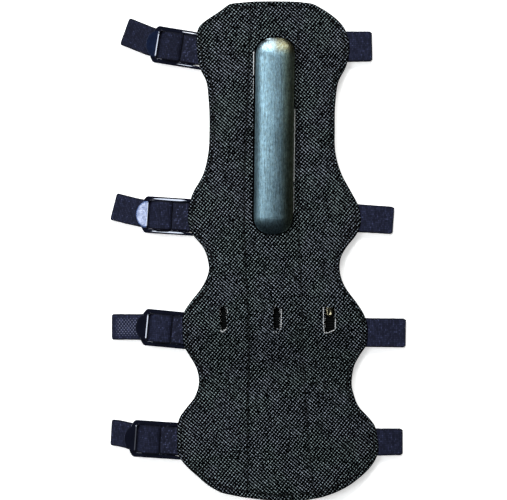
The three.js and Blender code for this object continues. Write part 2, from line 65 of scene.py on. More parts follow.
STAY = dict(x_top=38.5, y_top=124.0, x_end=46.3, y_end=-42.3, half=2.2, thick=1.2, sunk=0.7)
# x, y, wide, tall, lean in degrees
SLITS = [(-22.6, -43.0, 4.6, 15.6, -3.0), (11.8, -43.0, 4.7, 14.0, 0.0), (46.2, -44.2, 6.8, 16.4, 0.0)]

# Outline of the pad: y, left edge, right edge, from the wrist end down.
SECTIONS = np.array([
    (161.5, -3.7, 24.9), (160.6, -18.6, 35.3), (158.0, -22.0, 40.4), (145.0, -39.3, 56.1),
    (139.1, -40.2, 58.4), (127.4, -39.4, 58.9), (120.5, -38.4, 57.2), (111.2, -33.9, 52.3), (98.8, -32.2, 50.2), (80.0, -31.6, 49.6),
    (62.4, -32.6, 50.3), (48.8, -36.3, 54.7), (38.4, -42.3, 60.5), (29.2, -45.0, 65.2), (13.0, -43.7, 64.9), (9.6, -41.6, 62.9),
    (4.5, -36.9, 58.4), (-5.9, -32.5, 52.9), (-10.4, -31.8, 52.6), (-21.4, -35.4, 55.4), (-34.5, -45.2, 64.7), (-39.0, -48.2, 67.7),
    (-46.8, -49.2, 70.6), (-54.6, -49.0, 71.0), (-62.4, -47.8, 69.5), (-65.7, -45.9, 66.9), (-72.8, -41.3, 62.7), (-80.6, -38.7, 60.9),
    (-88.4, -38.8, 60.7), (-94.2, -40.9, 62.3), (-102.0, -46.9, 66.0), (-107.2, -50.9, 71.1), (-112.0, -52.4, 75.1), (-120.2, -52.6, 77.2),
    (-132.6, -51.8, 77.3), (-146.2, -39.2, 66.6), (-154.1, -28.6, 54.9), (-156.7, -23.2, 49.2),
    (-159.2, -9.2, 41.2), (-161.5, 11.2, 27.5)])
# The two lengthwise seams: y, left seam, right seam.
SEAMS = np.array([
    (161.5, -4.6, 26.0), (109.2, -6.5, 26.0), (65.7, -8.4, 26.8), (11.7, -8.8, 26.4),
    (-25.4, -7.2, 28.1), (-55.9, -6.1, 28.8), (-114.4, -6.8, 32.0), (-161.5, -6.8, 36.4)])
# One row for each fastened strap.
STRAP_KEYS = ("root_x", "root_y", "tip_x", "tip_y", "stub_w", "bar_x", "bar_y", "turn", "end_x", "end_y", "tail_turn", "tail_w")
STRAPS = [dict(zip(STRAP_KEYS, row)) for row in (
    (58.7, 133.4, 74.5, 133.7, 19.6, -66.1, 134.8, 9.0, -87.0, 143.5, 19.5, 18.5),
    (65.0, 21.8, 88.5, 20.2, 18.0, -72.6, 24.1, 3.7, -94.3, 29.4, 14.5, 18.0),
    (70.5, -52.7, 96.5, -53.1, 18.9, -72.8, -49.1, 5.5, -95.4, -49.1, 0.0, 16.8),
    (77.2, -124.1, 94.4, -124.1, 17.4, -80.2, -121.4, 4.0, -95.8, -117.8, 2.0, 17.0))]

_lo, _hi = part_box("guard_bar")
SHIFT = np.array([(_lo[0] + _hi[0]) / 2 / MM - BAR["x"],
                  (_lo[1] + _hi[1]) / 2 / MM - (BAR["top"] + BAR["bottom"]) / 2, 0.0])


# ---------------------------------------------------------------- curves and surfaces of the pad
def smooth(a, b, v):
    t = np.clip((np.asarray(v, float) - a) / (b - a), 0, 1)
    return t * t * (3 - 2 * t)


def column(table, k, y):
    ys, vs = table[:, 0], table[:, k]
    h = np.diff(ys)
    d = np.diff(vs) / h
    m = np.empty(len(ys))
    m[0], m[-1] = d[0], d[-1]
    m[1:-1] = (d[:-1] * h[1:] + d[1:] * h[:-1]) / (h[:-1] + h[1:])
    y = np.asarray(y, float)
    i = np.clip(np.searchsorted(-ys, -y, side="left") - 1, 0, len(ys) - 2)
    t = np.clip((y - ys[i]) / h[i], 0, 1)
    return ((2 * t ** 3 - 3 * t ** 2 + 1) * vs[i] + (t ** 3 - 2 * t ** 2 + t) * h[i] * m[i]
            + (3 * t ** 2 - 2 * t ** 3) * vs[i + 1] + (t ** 3 - t ** 2) * h[i] * m[i + 1])


def edge_left(y):
    return column(SECTIONS, 1, y)


def edge_right(y):
    return column(SECTIONS, 2, y)


def seam_x(y):
    """Where the two seams run at height y, clamped as the channels are."""
    l = edge_left(y)
    w = edge_right(y) - l
    return (l + w * np.clip((column(SEAMS, 1, y) - l) / w, 0.2, 0.46),
            l + w * np.clip((column(SEAMS, 2, y) - l) / w, 0.56, 0.82))


def arch(x, y):
    middle, half = 9.4 + (139 - y) * 0.0125, 49.2 + (139 - y) * 0.0587
    a = np.maximum(0, 1 - ((x - middle) / half) ** 2)
    rise = ARCH_STIFF + (ARCH_SOFT - ARCH_STIFF) * smooth(-ARCH_FROM, -ARCH_TO, -y)
    return rise * a * a


def puff(x, y):
    l, r = edge_left(y), edge_right(y)
    a, b = seam_x(y)
    t = np.where(x < a, (x - l) / (a - l), np.where(x < b, (x - a) / (b - a), (x - b) / (r - b)))
    ends = smooth(161.5, 154, np.abs(y))
    height = PUFF_STIFF + (PUFF_SOFT - PUFF_STIFF) * smooth(-ARCH_FROM, -ARCH_TO, -y)
    return height * ends * np.maximum(0, np.sin(np.pi * np.clip(t, 0, 1))) ** 0.8


def backing_low(x, y):
    return EDGE_Z + arch(x, y)


def backing_top(x, y):
    return backing_low(x, y) + BACKING_T


def wrinkle(x, y, scale, seed):
    return np.array([noise.noise(Vector((a / scale, b / scale, seed))) for a, b in zip(x, y)])


# ---------------------------------------------------------------- plan tools
def resample(loop, n):
    p = np.vstack([loop, loop[:1]])
    s = np.r_[0, np.cumsum(np.linalg.norm(np.diff(p, axis=0), axis=1))]
    t = np.linspace(0, s[-1], n, endpoint=False)
    return np.c_[np.interp(t, s, p[:, 0]), np.interp(t, s, p[:, 1])]


def loop_length(loop):
    return np.linalg.norm(np.roll(loop, -1, axis=0) - loop, axis=1).sum()


def loop_normals(loop):
    d = np.roll(loop, -1, axis=0) - np.roll(loop, 1, axis=0)
    d /= np.linalg.norm(d, axis=1)[:, None]
    return np.c_[d[:, 1], -d[:, 0]]


def soften(loop, sigma):
    """Rounds a loop of evenly spaced points; sigma is in points."""
    k = np.arange(-int(4 * sigma) - 1, int(4 * sigma) + 2)
    w = np.exp(-0.5 * (k / sigma) ** 2)
    w /= w.sum()
    return sum(wi * np.roll(loop, -ki, axis=0) for ki, wi in zip(k, w))


def near(points, loop, closed=True):
    """Distance of each point to a polyline and the length along it of the nearest place."""
    a = loop if closed else loop[:-1]
    b = np.roll(loop, -1, axis=0) if closed else loop[1:]
    ab = b - a
    length = np.linalg.norm(ab, axis=1)
    start = np.r_[0, np.cumsum(length)[:-1]]
    dist, along = np.empty(len(points)), np.empty(len(points))
    for i in range(0, len(points), 4000):
        p = points[i:i + 4000, None, :]
        t = np.clip(((p - a) * ab).sum(2) / np.maximum(length ** 2, 1e-12), 0, 1)
        d = np.linalg.norm(p - (a + t[..., None] * ab), axis=2)
        k = d.argmin(1)
        r = np.arange(len(k))
        dist[i:i + 4000] = d[r, k]
        along[i:i + 4000] = start[k] + t[r, k] * length[k]
    return dist, along


def inside(points, loop):
    a, b = loop, np.roll(loop, -1, axis=0)
    out = np.zeros(len(points), bool)
    for i in range(0, len(points), 8000):
        x, y = points[i:i + 8000, 0][:, None], points[i:i + 8000, 1][:, None]
        cross = (a[:, 1] > y) != (b[:, 1] > y)
        with np.errstate(divide="ignore", invalid="ignore"):
            at = a[:, 0] + (y - a[:, 1]) * (b[:, 0] - a[:, 0]) / (b[:, 1] - a[:, 1])
        out[i:i + 8000] = (cross & (x < at)).sum(1) % 2 == 1
    return out


def rounded_loop(cx, cy, half_x, half_y, corner, spacing, lean=0.0):
    pts = []
    for sx, sy, start in ((1, 1, 0), (-1, 1, 90), (-1, -1, 180), (1, -1, 270)):
        for i in range(9):
            a = math.radians(start + 90 * i / 8)
            pts.append((sx * (half_x - corner) + corner * math.cos(a), sy * (half_y - corner) + corner * math.sin(a)))
    p = np.array(pts)
    c, s = math.cos(math.radians(-lean)), math.sin(math.radians(-lean))
    p = np.c_[p[:, 0] * c - p[:, 1] * s + cx, p[:, 0] * s + p[:, 1] * c + cy]
    return resample(p, max(12, int(round(loop_length(p) / spacing))))


def thin(groups):
    """Plan points in order of rank: each (points, least distance) keeps clear of those before it."""
    cells, out = {}, []
    for pts, least in groups:
        for x, y in pts:
            i, j = int(math.floor(x / 1.6)), int(math.floor(y / 1.6))
            ok = True
            if least > 0:
                for di in (-1, 0, 1):
                    for dj in (-1, 0, 1):
                        for qx, qy in cells.get((i + di, j + dj), ()):
                            if (qx - x) ** 2 + (qy - y) ** 2 < least * least:
                                ok = False
                                break
                        if not ok:
                            break
                    if not ok:
                        break
            if ok:
                cells.setdefault((i, j), []).append((x, y))
                out.append((x, y))
    return out


def plan_mesh(loops, groups, keep):
    """Triangles over a plan: loops are kept as edges, groups are the free points."""
    fixed, edges = [], []
    for loop in loops:
        n0 = len(fixed)
        fixed += [tuple(p) for p in loop]
        edges += [(n0 + i, n0 + (i + 1) % len(loop)) for i in range(len(loop))]
    pts = thin([(fixed, 0.0)] + groups)
    verts, _, faces, _, _, _ = delaunay_2d_cdt([Vector(p) for p in pts], edges, [], 0, 1e-5)
    v = np.array([(p.x, p.y) for p in verts])
    f = np.array([t for t in faces if len(t) == 3])
    a, b, c = v[f[:, 0]], v[f[:, 1]], v[f[:, 2]]
    area = (b[:, 0] - a[:, 0]) * (c[:, 1] - a[:, 1]) - (b[:, 1] - a[:, 1]) * (c[:, 0] - a[:, 0])
    f = np.where(area[:, None] < 0, f[:, ::-1], f)
    f = f[np.abs(area) > 1e-7]
    f = f[keep((v[f[:, 0]] + v[f[:, 1]] + v[f[:, 2]]) / 3)]
    used = np.unique(f)
    index = -np.ones(len(v), int)
    index[used] = np.arange(len(used))
    return v[used], index[f]


def rim_edges(faces):
    seen = {}
    for t in faces:
        for k in range(3):
            seen[(t[k], t[(k + 1) % 3])] = True
    return [e for e in seen if (e[1], e[0]) not in seen]


def closed_plate(v, f, top, low, bulge=0.0):
    """Closes a plan between two heights, with a rounded rim of three rows."""
    n = len(v)
    rim = rim_edges(f)
    verts = [np.c_[v, top], np.c_[v, low]]
    faces = [tuple(t) for t in f] + [(t[0] + n, t[2] + n, t[1] + n) for t in f]
    out = {}
    for a, b in rim:
        d = v[b] - v[a]
        d = np.array([d[1], -d[0]]) / max(np.linalg.norm(d), 1e-9)
        for k in (a, b):
            out[k] = out.get(k, np.zeros(2)) + d
    ring = {}
    extra = []
    for k, d in out.items():
        d = d / max(np.linalg.norm(d), 1e-9)
        ring[k] = 2 * n + len(extra)
        extra.append((v[k, 0] + d[0] * bulge, v[k, 1] + d[1] * bulge, 0.5 * (top[k] + low[k])))
    verts.append(np.array(extra))
    for a, b in rim:
        faces.append((a, ring[a], ring[b], b))
        faces.append((ring[a], a + n, b + n, ring[b]))
    return np.vstack(verts), faces


# ---------------------------------------------------------------- pieces
def piece(name, verts, faces, material, replaces=(), points=None, angle=50.0):
    mesh = bpy.data.meshes.new(name)
    mesh.from_pydata(((np.asarray(verts, float) + SHIFT) * MM).tolist(), [], [tuple(int(i) for i in t) for t in faces])
    mesh.update()
    for key, values in (points or {}).items():
        values = np.asarray(values, np.float32)
        if values.ndim == 1:
            mesh.attributes.new(key, "FLOAT", "POINT").data.foreach_set("value", values)
        else:
            mesh.attributes.new(key, "FLOAT_VECTOR", "POINT").data.foreach_set("vector", values.ravel())
    mesh.shade_smooth()
    mesh.set_sharp_from_angle(angle=math.radians(angle))
    mesh.materials.append(material)
    obj = bpy.data.objects.new(name, mesh)
    bpy.context.scene.collection.objects.link(obj)
    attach(obj, "root")
    if replaces:
        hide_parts(*replaces)
    return obj


def unit(v):
    v = np.asarray(v, float)
    return v / np.maximum(np.linalg.norm(v, axis=-1, keepdims=True), 1e-12)


def tubes(paths, radii, sides=6, flat=1.0):
    """Joined closed tubes; every path has its own radius or row of radii."""
    verts, faces, n0 = [], [], 0
    for path, radius in zip(paths, radii):
        path = np.asarray(path, float)
        k = len(path)
        r = np.broadcast_to(np.asarray(radius, float), (k,))
        t = unit(np.gradient(path, axis=0))
        up = np.tile([0.0, 0.0, 1.0], (k, 1))
        up[np.abs(t[:, 2]) > 0.9] = (1.0, 0.0, 0.0)
        b = unit(np.cross(t, up))
        n = np.cross(b, t)
        for i in range(sides):
            a = 2 * math.pi * i / sides
            verts.append(path + (b * math.cos(a) + n * math.sin(a) * flat) * r[:, None])
        block = np.stack(verts[-sides:], axis=1).reshape(-1, 3)
        del verts[-sides:]
        verts.append(block)
        for i in range(k - 1):
            for j in range(sides):
                j1 = (j + 1) % sides
                faces.append((n0 + i * sides + j, n0 + i * sides + j1, n0 + (i + 1) * sides + j1, n0 + (i + 1) * sides + j))
        faces.append(tuple(n0 + j for j in reversed(range(sides))))
        faces.append(tuple(n0 + (k - 1) * sides + j for j in range(sides)))
        n0 += k * sides
    return np.vstack(verts), faces


# ---------------------------------------------------------------- shader building
class Shader:
    def __init__(self, name):
        self.material = bpy.data.materials.new(name)
        self.material.use_nodes = True
        self.tree = self.material.node_tree
        self.tree.nodes.clear()
        self.bsdf = self.tree.nodes.new("ShaderNodeBsdfPrincipled")
        out = self.tree.nodes.new("ShaderNodeOutputMaterial")
        self.tree.links.new(self.bsdf.outputs[0], out.inputs[0])

    def put(self, socket, value):
        if isinstance(value, bpy.types.NodeSocket):
            self.tree.links.new(value, socket)
        else:
            socket.default_value = value

    def set(self, **values):
        for key, value in values.items():
            self.put(self.bsdf.inputs[key.replace("_", " ")], value)

    def math(self, op, *values, clamp=False):
        n = self.tree.nodes.new("ShaderNodeMath")
        n.operation = op
        n.use_clamp = clamp
        for i, v in enumerate(values):
            self.put(n.inputs[i], v)
        return n.outputs[0]

    def add(self, *v):
        out = v[0]
        for x in v[1:]:
            out = self.math("ADD", out, x)
        return out

    def mul(self, *v):
        out = v[0]
        for x in v[1:]:
            out = self.math("MULTIPLY", out, x)
        return out

    def mix(self, f, a, b):
        n = self.tree.nodes.new("ShaderNodeMix")
        n.data_type = "FLOAT"
        self.put(n.inputs[0], f)
        self.put(n.inputs[2], a)
        self.put(n.inputs[3], b)
        return n.outputs[0]

    def tint(self, f, a, b, blend="MIX"):
        n = self.tree.nodes.new("ShaderNodeMix")
        n.data_type = "RGBA"
        n.blend_type = blend
        self.put(n.inputs[0], f)
        self.put(n.inputs[6], a if isinstance(a, bpy.types.NodeSocket) else (*a, 1.0))
        self.put(n.inputs[7], b if isinstance(b, bpy.types.NodeSocket) else (*b, 1.0))
        return n.outputs[2]

    def range(self, v, a, b, c, d, kind="SMOOTHSTEP"):
        n = self.tree.nodes.new("ShaderNodeMapRange")
        n.interpolation_type = kind
        for i, x in enumerate((v, a, b, c, d)):
            self.put(n.inputs[i], x)
        return n.outputs[0]

    def place(self):
        """Millimetres in the object's own frame."""
        t = self.tree.nodes.new("ShaderNodeTexCoord")
        n = self.tree.nodes.new("ShaderNodeVectorMath")
        n.operation = "SCALE"
        self.put(n.inputs[0], t.outputs["Object"])
        n.inputs[3].default_value = 1000.0
        return n.outputs[0]

    def split(self, vec):
        n = self.tree.nodes.new("ShaderNodeSeparateXYZ")
        self.put(n.inputs[0], vec)
        return n.outputs[0], n.outputs[1], n.outputs[2]

    def join(self, x, y, z=0.0):
        n = self.tree.nodes.new("ShaderNodeCombineXYZ")
        for i, v in enumerate((x, y, z)):
            self.put(n.inputs[i], v)
        return n.outputs[0]

    def noise(self, vec, scale, detail=2.0, rough=0.5):
        n = self.tree.nodes.new("ShaderNodeTexNoise")
        n.noise_dimensions = "3D"
        self.put(n.inputs["Vector"], vec)
        n.inputs["Scale"].default_value = scale
        n.inputs["Detail"].default_value = detail
        n.inputs["Roughness"].default_value = rough
        return n.outputs["Fac"] if "Fac" in n.outputs else n.outputs[0]

    def white(self, vec):
        n = self.tree.nodes.new("ShaderNodeTexWhiteNoise")
        n.noise_dimensions = "3D"
        self.put(n.inputs["Vector"], vec)
        return n.outputs["Value"]

    def grey(self, v):
        n = self.tree.nodes.new("ShaderNodeCombineColor")
        for i in range(3):
            self.put(n.inputs[i], v)
        return n.outputs[0]

    def cells(self, vec, size):
        n = self.tree.nodes.new("ShaderNodeVectorMath")
        n.operation = "SNAP"
        self.put(n.inputs[0], vec)
        n.inputs[1].default_value = (size, size, size)
        return n.outputs[0]

    def shift(self, vec, by):
        n = self.tree.nodes.new("ShaderNodeVectorMath")
        n.operation = "ADD"
        self.put(n.inputs[0], vec)
        n.inputs[1].default_value = by
        return n.outputs[0]

    def point(self, name, vector=False):
        n = self.tree.nodes.new("ShaderNodeAttribute")
        n.attribute_type = "GEOMETRY"
        n.attribute_name = name
        return n.outputs["Vector"] if vector else n.outputs["Fac"]

    def bump(self, height, distance, strength=1.0):
        n = self.tree.nodes.new("ShaderNodeBump")
        n.inputs["Strength"].default_value = strength
        n.inputs["Distance"].default_value = distance
        self.put(n.inputs["Height"], height)
        self.put(self.bsdf.inputs["Normal"], n.outputs[0])

    def weave(self, u, v):
        """Plain weave: height 0-1 of the yarn on top, its cell and whether it runs along v."""
        iu, iv = self.math("FLOOR", u), self.math("FLOOR", v)
        fu = self.math("SUBTRACT", self.math("SUBTRACT", u, iu), 0.5)
        fv = self.math("SUBTRACT", self.math("SUBTRACT", v, iv), 0.5)
        odd = self.math("FLOORED_MODULO", self.math("ADD", iu, iv), 2.0)
        across, along = self.mix(odd, fu, fv), self.mix(odd, fv, fu)
        body = self.math("POWER", self.math("MAXIMUM", self.math("COSINE", self.mul(across, math.pi)), 0.0), 0.6)
        crown = self.math("MULTIPLY_ADD", self.math("COSINE", self.mul(along, 2 * math.pi)), 0.5, 0.5)
        return self.mul(body, crown), self.join(iu, iv), odd


def cover_material():
    """Coarse plain weave of a light and a dark yarn, laid a few degrees off the pad's length; its light flecks on the
    yarn crowns are the light yarn's colour with painted glints in it.
    """
    s = Shader("woven_cover")
    p = s.place()
    x, y, z = s.split(p)
    drift = s.math("SUBTRACT", s.noise(p, 0.02, 2.0), 0.5)
    sway = s.math("SUBTRACT", s.noise(p, 0.22, 2.0), 0.5)
    slip = s.math("SUBTRACT", s.noise(p, 0.85, 1.0), 0.5)
    u = s.add(s.mul(x, 0.811), s.mul(y, 0.106), s.mul(drift, 0.9), s.mul(sway, 0.35), s.mul(slip, 0.45))
    v = s.add(s.mul(x, 0.054), s.mul(y, -0.8015), s.mul(drift, -0.8), s.mul(sway, 0.4), s.mul(slip, -0.3))
    one = s.mul(s.math("SUBTRACT", u, v), 0.5)
    two = s.mul(s.math("ADD", u, v), 0.5)
    c1 = s.math("COSINE", s.mul(one, 2 * math.pi))
    c2 = s.math("COSINE", s.mul(two, 2 * math.pi))
    # one diagonal of the weave stands out more in some places, the other elsewhere
    lay = s.range(s.noise(p, 0.07, 2.0, 0.5), 0.38, 0.62, 0.40, 0.78, "LINEAR")
    g = s.math("MULTIPLY_ADD", s.add(s.mul(c1, lay), s.mul(c2, s.math("SUBTRACT", 1.0, lay))), 0.5, 0.5)
    even_out = s.range(lay, 0.6, 0.78, 1.04, 0.84, "LINEAR")
    hair = s.math("MAXIMUM", s.math("MULTIPLY_ADD", s.math("SUBTRACT", s.noise(p, 2.0, 0.0), 0.5), 10.0, 1.0), 0.0)
    # light flecks on the yarn crowns: the light yarn's colour with painted glints
    light = s.mul(s.math("POWER", s.range(g, 0.64, 1.0, 0.0, 1.0, "LINEAR"), 1.5), hair, even_out)
    # painted shade: the cloth is darkened along the seams and the edge stitch line
    painted_seam_shade = s.range(s.point("sewn"), 0.0, 1.0, 1.0, 0.12, "LINEAR")
    # painted shade: a dark outline within about a millimetre of the cloth's edge
    rim = s.range(s.point("edge"), 0.1, 1.2, 0.3, 1.0)
    # the cloth's colour carries the painted seam shade, the painted dark edge and the painted light and shade over the
    # pad
    cloth = s.tint(s.mul(light, painted_seam_shade, rim, s.point("painted_light_and_shade")), (0.0002, 0.0003, 0.0004), (0.320, 0.372, 0.406))
    hue = s.tint(s.range(s.noise(p, 0.055, 3.0), 0.38, 0.62, 0.0, 1.0), (0.95, 1.02, 0.97), (1.01, 0.985, 1.06))
    cloth = s.tint(1.0, cloth, hue, "MULTIPLY")
    s.set(Base_Color=cloth, Roughness=s.range(g, 0.0, 1.0, 0.95, 0.75), Sheen_Weight=0.003, Sheen_Roughness=0.5,
          Specular_IOR_Level=0.01)
    fuzz = s.noise(p, 6.0, 3.0, 0.6)
    s.bump(s.add(g, s.mul(fuzz, 0.35)), 0.0003)
    return s.material


def lining_material():
    s = Shader("lining")
    p = s.place()
    x, y, z = s.split(p)
    wale = s.math("COSINE", s.mul(y, 2 * math.pi / 1.6))
    fine = s.math("COSINE", s.mul(s.add(x, s.mul(s.noise(p, 0.3), 1.2)), 2 * math.pi / 0.55))
    grain = s.noise(p, 2.5, 4.0, 0.65)
    h = s.add(s.mul(wale, 0.5), s.mul(fine, 0.25), s.mul(grain, 0.8))
    f = s.range(h, -0.3, 1.2, 0.0, 1.0)
    s.set(Base_Color=s.tint(f, (0.0007, 0.0008, 0.0009), (0.0056, 0.0060, 0.0064)), Roughness=s.range(grain, 0.2, 0.8, 0.8, 0.97),
          Sheen_Weight=0.006, Sheen_Roughness=0.45, Specular_IOR_Level=0.04)
    s.bump(h, 0.00018)
    return s.material


def elastic_material(name, base, light, rib, pick, glint):
    """Woven elastic or webbing: ribs along its length, picks across it."""
    s = Shader(name)
    p = s.place()
    a, b, c = s.split(s.point("sw", True))
    wob = s.mul(s.math("SUBTRACT", s.noise(p, 0.25, 2.0), 0.5), 0.5)
    u, v = s.add(s.mul(b, 1 / rib), wob), s.add(s.mul(a, 1 / pick), wob)
    h, cell, odd = s.weave(u, v)
    ridge = s.math("MULTIPLY_ADD", s.math("COSINE", s.mul(u, 2 * math.pi)), 0.5, 0.5)
    rnd = s.white(cell)
    grain = s.noise(p, 1.6, 3.0, 0.6)
    # painted shade: a dark outline along the band's edges
    rim = s.range(s.point("rim"), 0.1, 1.3, 0.12, 1.0)
    # painted glints: bright specks on the yarn crowns, drawn into the colour
    sparkle = s.mul(s.range(rnd, glint[0], 1.0, 0.0, glint[1], "LINEAR"), h)
    lum = s.mul(s.add(s.mul(h, 0.75), s.mul(ridge, 0.25), sparkle), s.range(rnd, 0.0, 1.0, 0.55, 1.3), s.range(grain, 0.25, 0.75, 0.7, 1.3), rim, 0.4)
    lum = s.mul(lum, s.point("tone"))
    dots = s.math("MINIMUM", s.mul(s.point("pale"), odd, s.math("POWER", h, 2.0), s.range(grain, 0.3, 0.7, 0.8, 1.8)), 1.0)
    s.set(Base_Color=s.tint(dots, s.tint(s.math("MINIMUM", lum, 1.0), base, light), (0.19, 0.205, 0.32)), Roughness=s.range(grain, 0.2, 0.8, 0.62, 0.86),
          Sheen_Weight=0.02, Sheen_Roughness=0.4, Specular_IOR_Level=0.1)
    s.bump(s.add(s.mul(h, 0.8), s.mul(ridge, 0.5), s.mul(grain, 0.3)), 0.00022)
    return s.material


def bar_material():
    s = Shader("bar_metal")
    p = s.place()
    x, y, z = s.split(p)
    streak = s.noise(s.join(s.mul(x, 1.0), s.mul(y, 0.012), s.mul(z, 1.0)), 2.2, 4.0, 0.7)
    fine = s.noise(s.join(s.mul(x, 1.0), s.mul(y, 0.03), s.mul(z, 1.0)), 7.0, 2.0, 0.6)
    cloud = s.noise(p, 0.07, 4.0, 0.6)
    scuff = s.range(s.noise(s.join(x, s.mul(y, 0.25), z), 0.8, 5.0, 0.75), 0.62, 0.78, 0.0, 1.0)
    f = s.add(s.mul(streak, 0.6), s.mul(cloud, 0.4))
    metal = s.tint(s.range(f, 0.32, 0.68, 0.0, 1.0), (0.082, 0.137, 0.168), (0.152, 0.242, 0.292))
    metal = s.tint(s.mul(scuff, 0.35), metal, (0.2, 0.27, 0.29))
    patina = s.range(s.noise(s.join(x, s.mul(y, 0.3), z), 1.1, 4.0, 0.7), 0.45, 0.7, 0.0, 1.0)
    metal = s.tint(s.mul(patina, 0.45), metal, (0.095, 0.115, 0.085))
    # painted reflection: a warm yellow-olive tint across the right part of the bar
    metal = s.tint(1.0, metal, s.tint(s.range(x, 13.0, 20.0, 0.0, 1.0), (1.0, 1.0, 1.0), (1.20, 1.07, 0.76)), "MULTIPLY")
    # painted shade: the right flank of the bar darkened
    metal = s.tint(s.range(x, 17.0, 22.4, 0.0, 0.62), metal, (0.030, 0.029, 0.020))
    # painted highlight: the metal made paler towards the top end, where the end highlight lies
    metal = s.tint(s.range(y, 127.0, 136.0, 0.0, 0.4), metal, (0.26, 0.27, 0.27))
    # painted reflection: a dim yellow-olive patch at the top right of the end, the right part of its highlight
    painted_reflection_patch = s.mul(s.range(x, 8.0, 13.5, 0.0, 1.0), s.range(y, 125.0, 131.5, 0.0, 0.95), s.range(s.noise(p, 0.6, 3.0, 0.6), 0.3, 0.7, 0.75, 1.0))
    metal = s.tint(painted_reflection_patch, metal, (0.066, 0.060, 0.028))
    groove = s.range(s.noise(s.join(x, s.mul(y, 0.04), z), 1.25, 3.0, 0.7), 0.48, 0.70, 1.08, 0.66)
    metal = s.tint(1.0, metal, s.grey(groove), "MULTIPLY")
    speck = s.noise(s.join(x, s.mul(y, 0.35), z), 1.2, 4.0, 0.75)
    # random specks, with painted light and shade: the metal darker towards the bottom end and dimmed under the top end
    # highlight
    metal = s.tint(1.0, metal, s.grey(s.mul(s.range(speck, 0.3, 0.7, 0.45, 1.55, "LINEAR"), s.range(y, 40.0, 139.0, 0.64, 1.08, "LINEAR"), s.range(y, 125.0, 133.0, 1.0, 0.72))), "MULTIPLY")
    s.set(Base_Color=metal, Metallic=1.0, Anisotropic=0.2,
          Roughness=s.mul(s.add(s.range(f, 0.2, 0.8, 0.31, 0.40), s.mul(scuff, 0.08), s.mul(fine, 0.05)), s.range(y, 120.0, 132.0, 1.0, 0.75)))
    s.bump(s.add(s.mul(streak, 0.6), s.mul(fine, 0.5), s.mul(speck, 0.4)), 0.00005)
    return s.material


def stay_material():
    s = Shader("stay_steel")
    p = s.place()
    x, y, z = s.split(p)
    draw = s.noise(s.join(x, s.mul(y, 0.05), z), 3.0, 3.0, 0.6)
    spot = s.noise(p, 1.1, 4.0, 0.7)
    col = s.tint(s.range(spot, 0.45, 0.7, 0.0, 1.0), (0.22, 0.20, 0.13), (0.09, 0.075, 0.04))
    s.set(Base_Color=col, Metallic=1.0, Roughness=s.add(0.12, s.mul(draw, 0.16)))
    s.bump(s.add(draw, s.mul(spot, 0.5)), 0.00004)
    return s.material


def plastic_material():
    s = Shader("buckle_plastic")
    p = s.place()
    grain = s.noise(p, 5.0, 3.0, 0.6)
    cloud = s.noise(p, 0.18, 3.0, 0.55)
    rub = s.range(s.noise(p, 0.9, 5.0, 0.75), 0.6, 0.74, 0.0, 1.0)
    col = s.tint(cloud, (0.0018, 0.0022, 0.006), (0.005, 0.006, 0.015))
    col = s.tint(s.mul(rub, 0.3), col, (0.02, 0.024, 0.04))
    # on the rubbed patch of the tab the rougher finish is wear, and its blue tint is a painted reflection
    painted_reflection_patch = s.point("painted_reflection_patch")
    scuff_and_painted_reflection = s.mul(painted_reflection_patch, s.range(s.noise(p, 0.75, 3.0, 0.7), 0.3, 0.7, 0.4, 1.0))
    col = s.tint(scuff_and_painted_reflection, col, (0.035, 0.085, 0.27))
    s.set(Base_Color=col, Roughness=s.add(s.range(cloud, 0.3, 0.7, 0.06, 0.08), s.mul(rub, 0.03), s.mul(painted_reflection_patch, s.range(s.noise(p, 0.55, 3.0, 0.7), 0.36, 0.64, 0.13, 0.34))), IOR=1.52,
          Specular_IOR_Level=0.9, Specular_Tint=(0.80, 0.85, 1.0, 1.0), Coat_Weight=0.15, Coat_Roughness=0.06)
    s.bump(s.add(grain, s.mul(rub, 0.3)), 0.000004)
    return s.material


def thread_material():
    s = Shader("thread")
    p = s.place()
    ply = s.math("SINE", s.mul(s.add(*s.split(p)), 2 * math.pi / 0.5))
    fuzz = s.noise(p, 4.0, 3.0, 0.6)
    f = s.range(s.add(s.mul(ply, 0.5), fuzz), 0.0, 1.3, 0.0, 1.0)
    s.set(Base_Color=s.tint(f, (0.0006, 0.0007, 0.0009), (0.008, 0.0085, 0.01)), Roughness=s.range(fuzz, 0.2, 0.8, 0.55, 0.8),
          Sheen_Weight=0.02, Sheen_Roughness=0.4, Specular_IOR_Level=0.15)
    s.bump(s.add(ply, fuzz), 0.00008)
    return s.material


def fray_material(name, dark, light):
    s = Shader(name)
    p = s.place()
    f = s.noise(p, 1.7, 4.0, 0.65)
    twist = s.math("SINE", s.mul(s.add(*s.split(p)), 2 * math.pi / 0.4))
    s.set(Base_Color=s.tint(s.range(f, 0.3, 0.7, 0.0, 1.0), dark, light), Roughness=s.range(f, 0.2, 0.8, 0.7, 0.95),
          Sheen_Weight=0.2, Sheen_Roughness=0.5)
    s.bump(s.add(twist, f), 0.00006)
    return s.material


def floor_material():
    s = Shader("pale_floor")
    p = s.place()
    f = s.noise(p, 0.02, 3.0, 0.5)
    s.set(Base_Color=s.tint(f, (0.9, 0.9, 0.9), (0.93, 0.93, 0.93)), Roughness=s.range(f, 0.2, 0.8, 0.7, 0.8),
          Emission_Color=(1.0, 1.0, 1.0, 1.0), Emission_Strength=0.56)
    return s.material


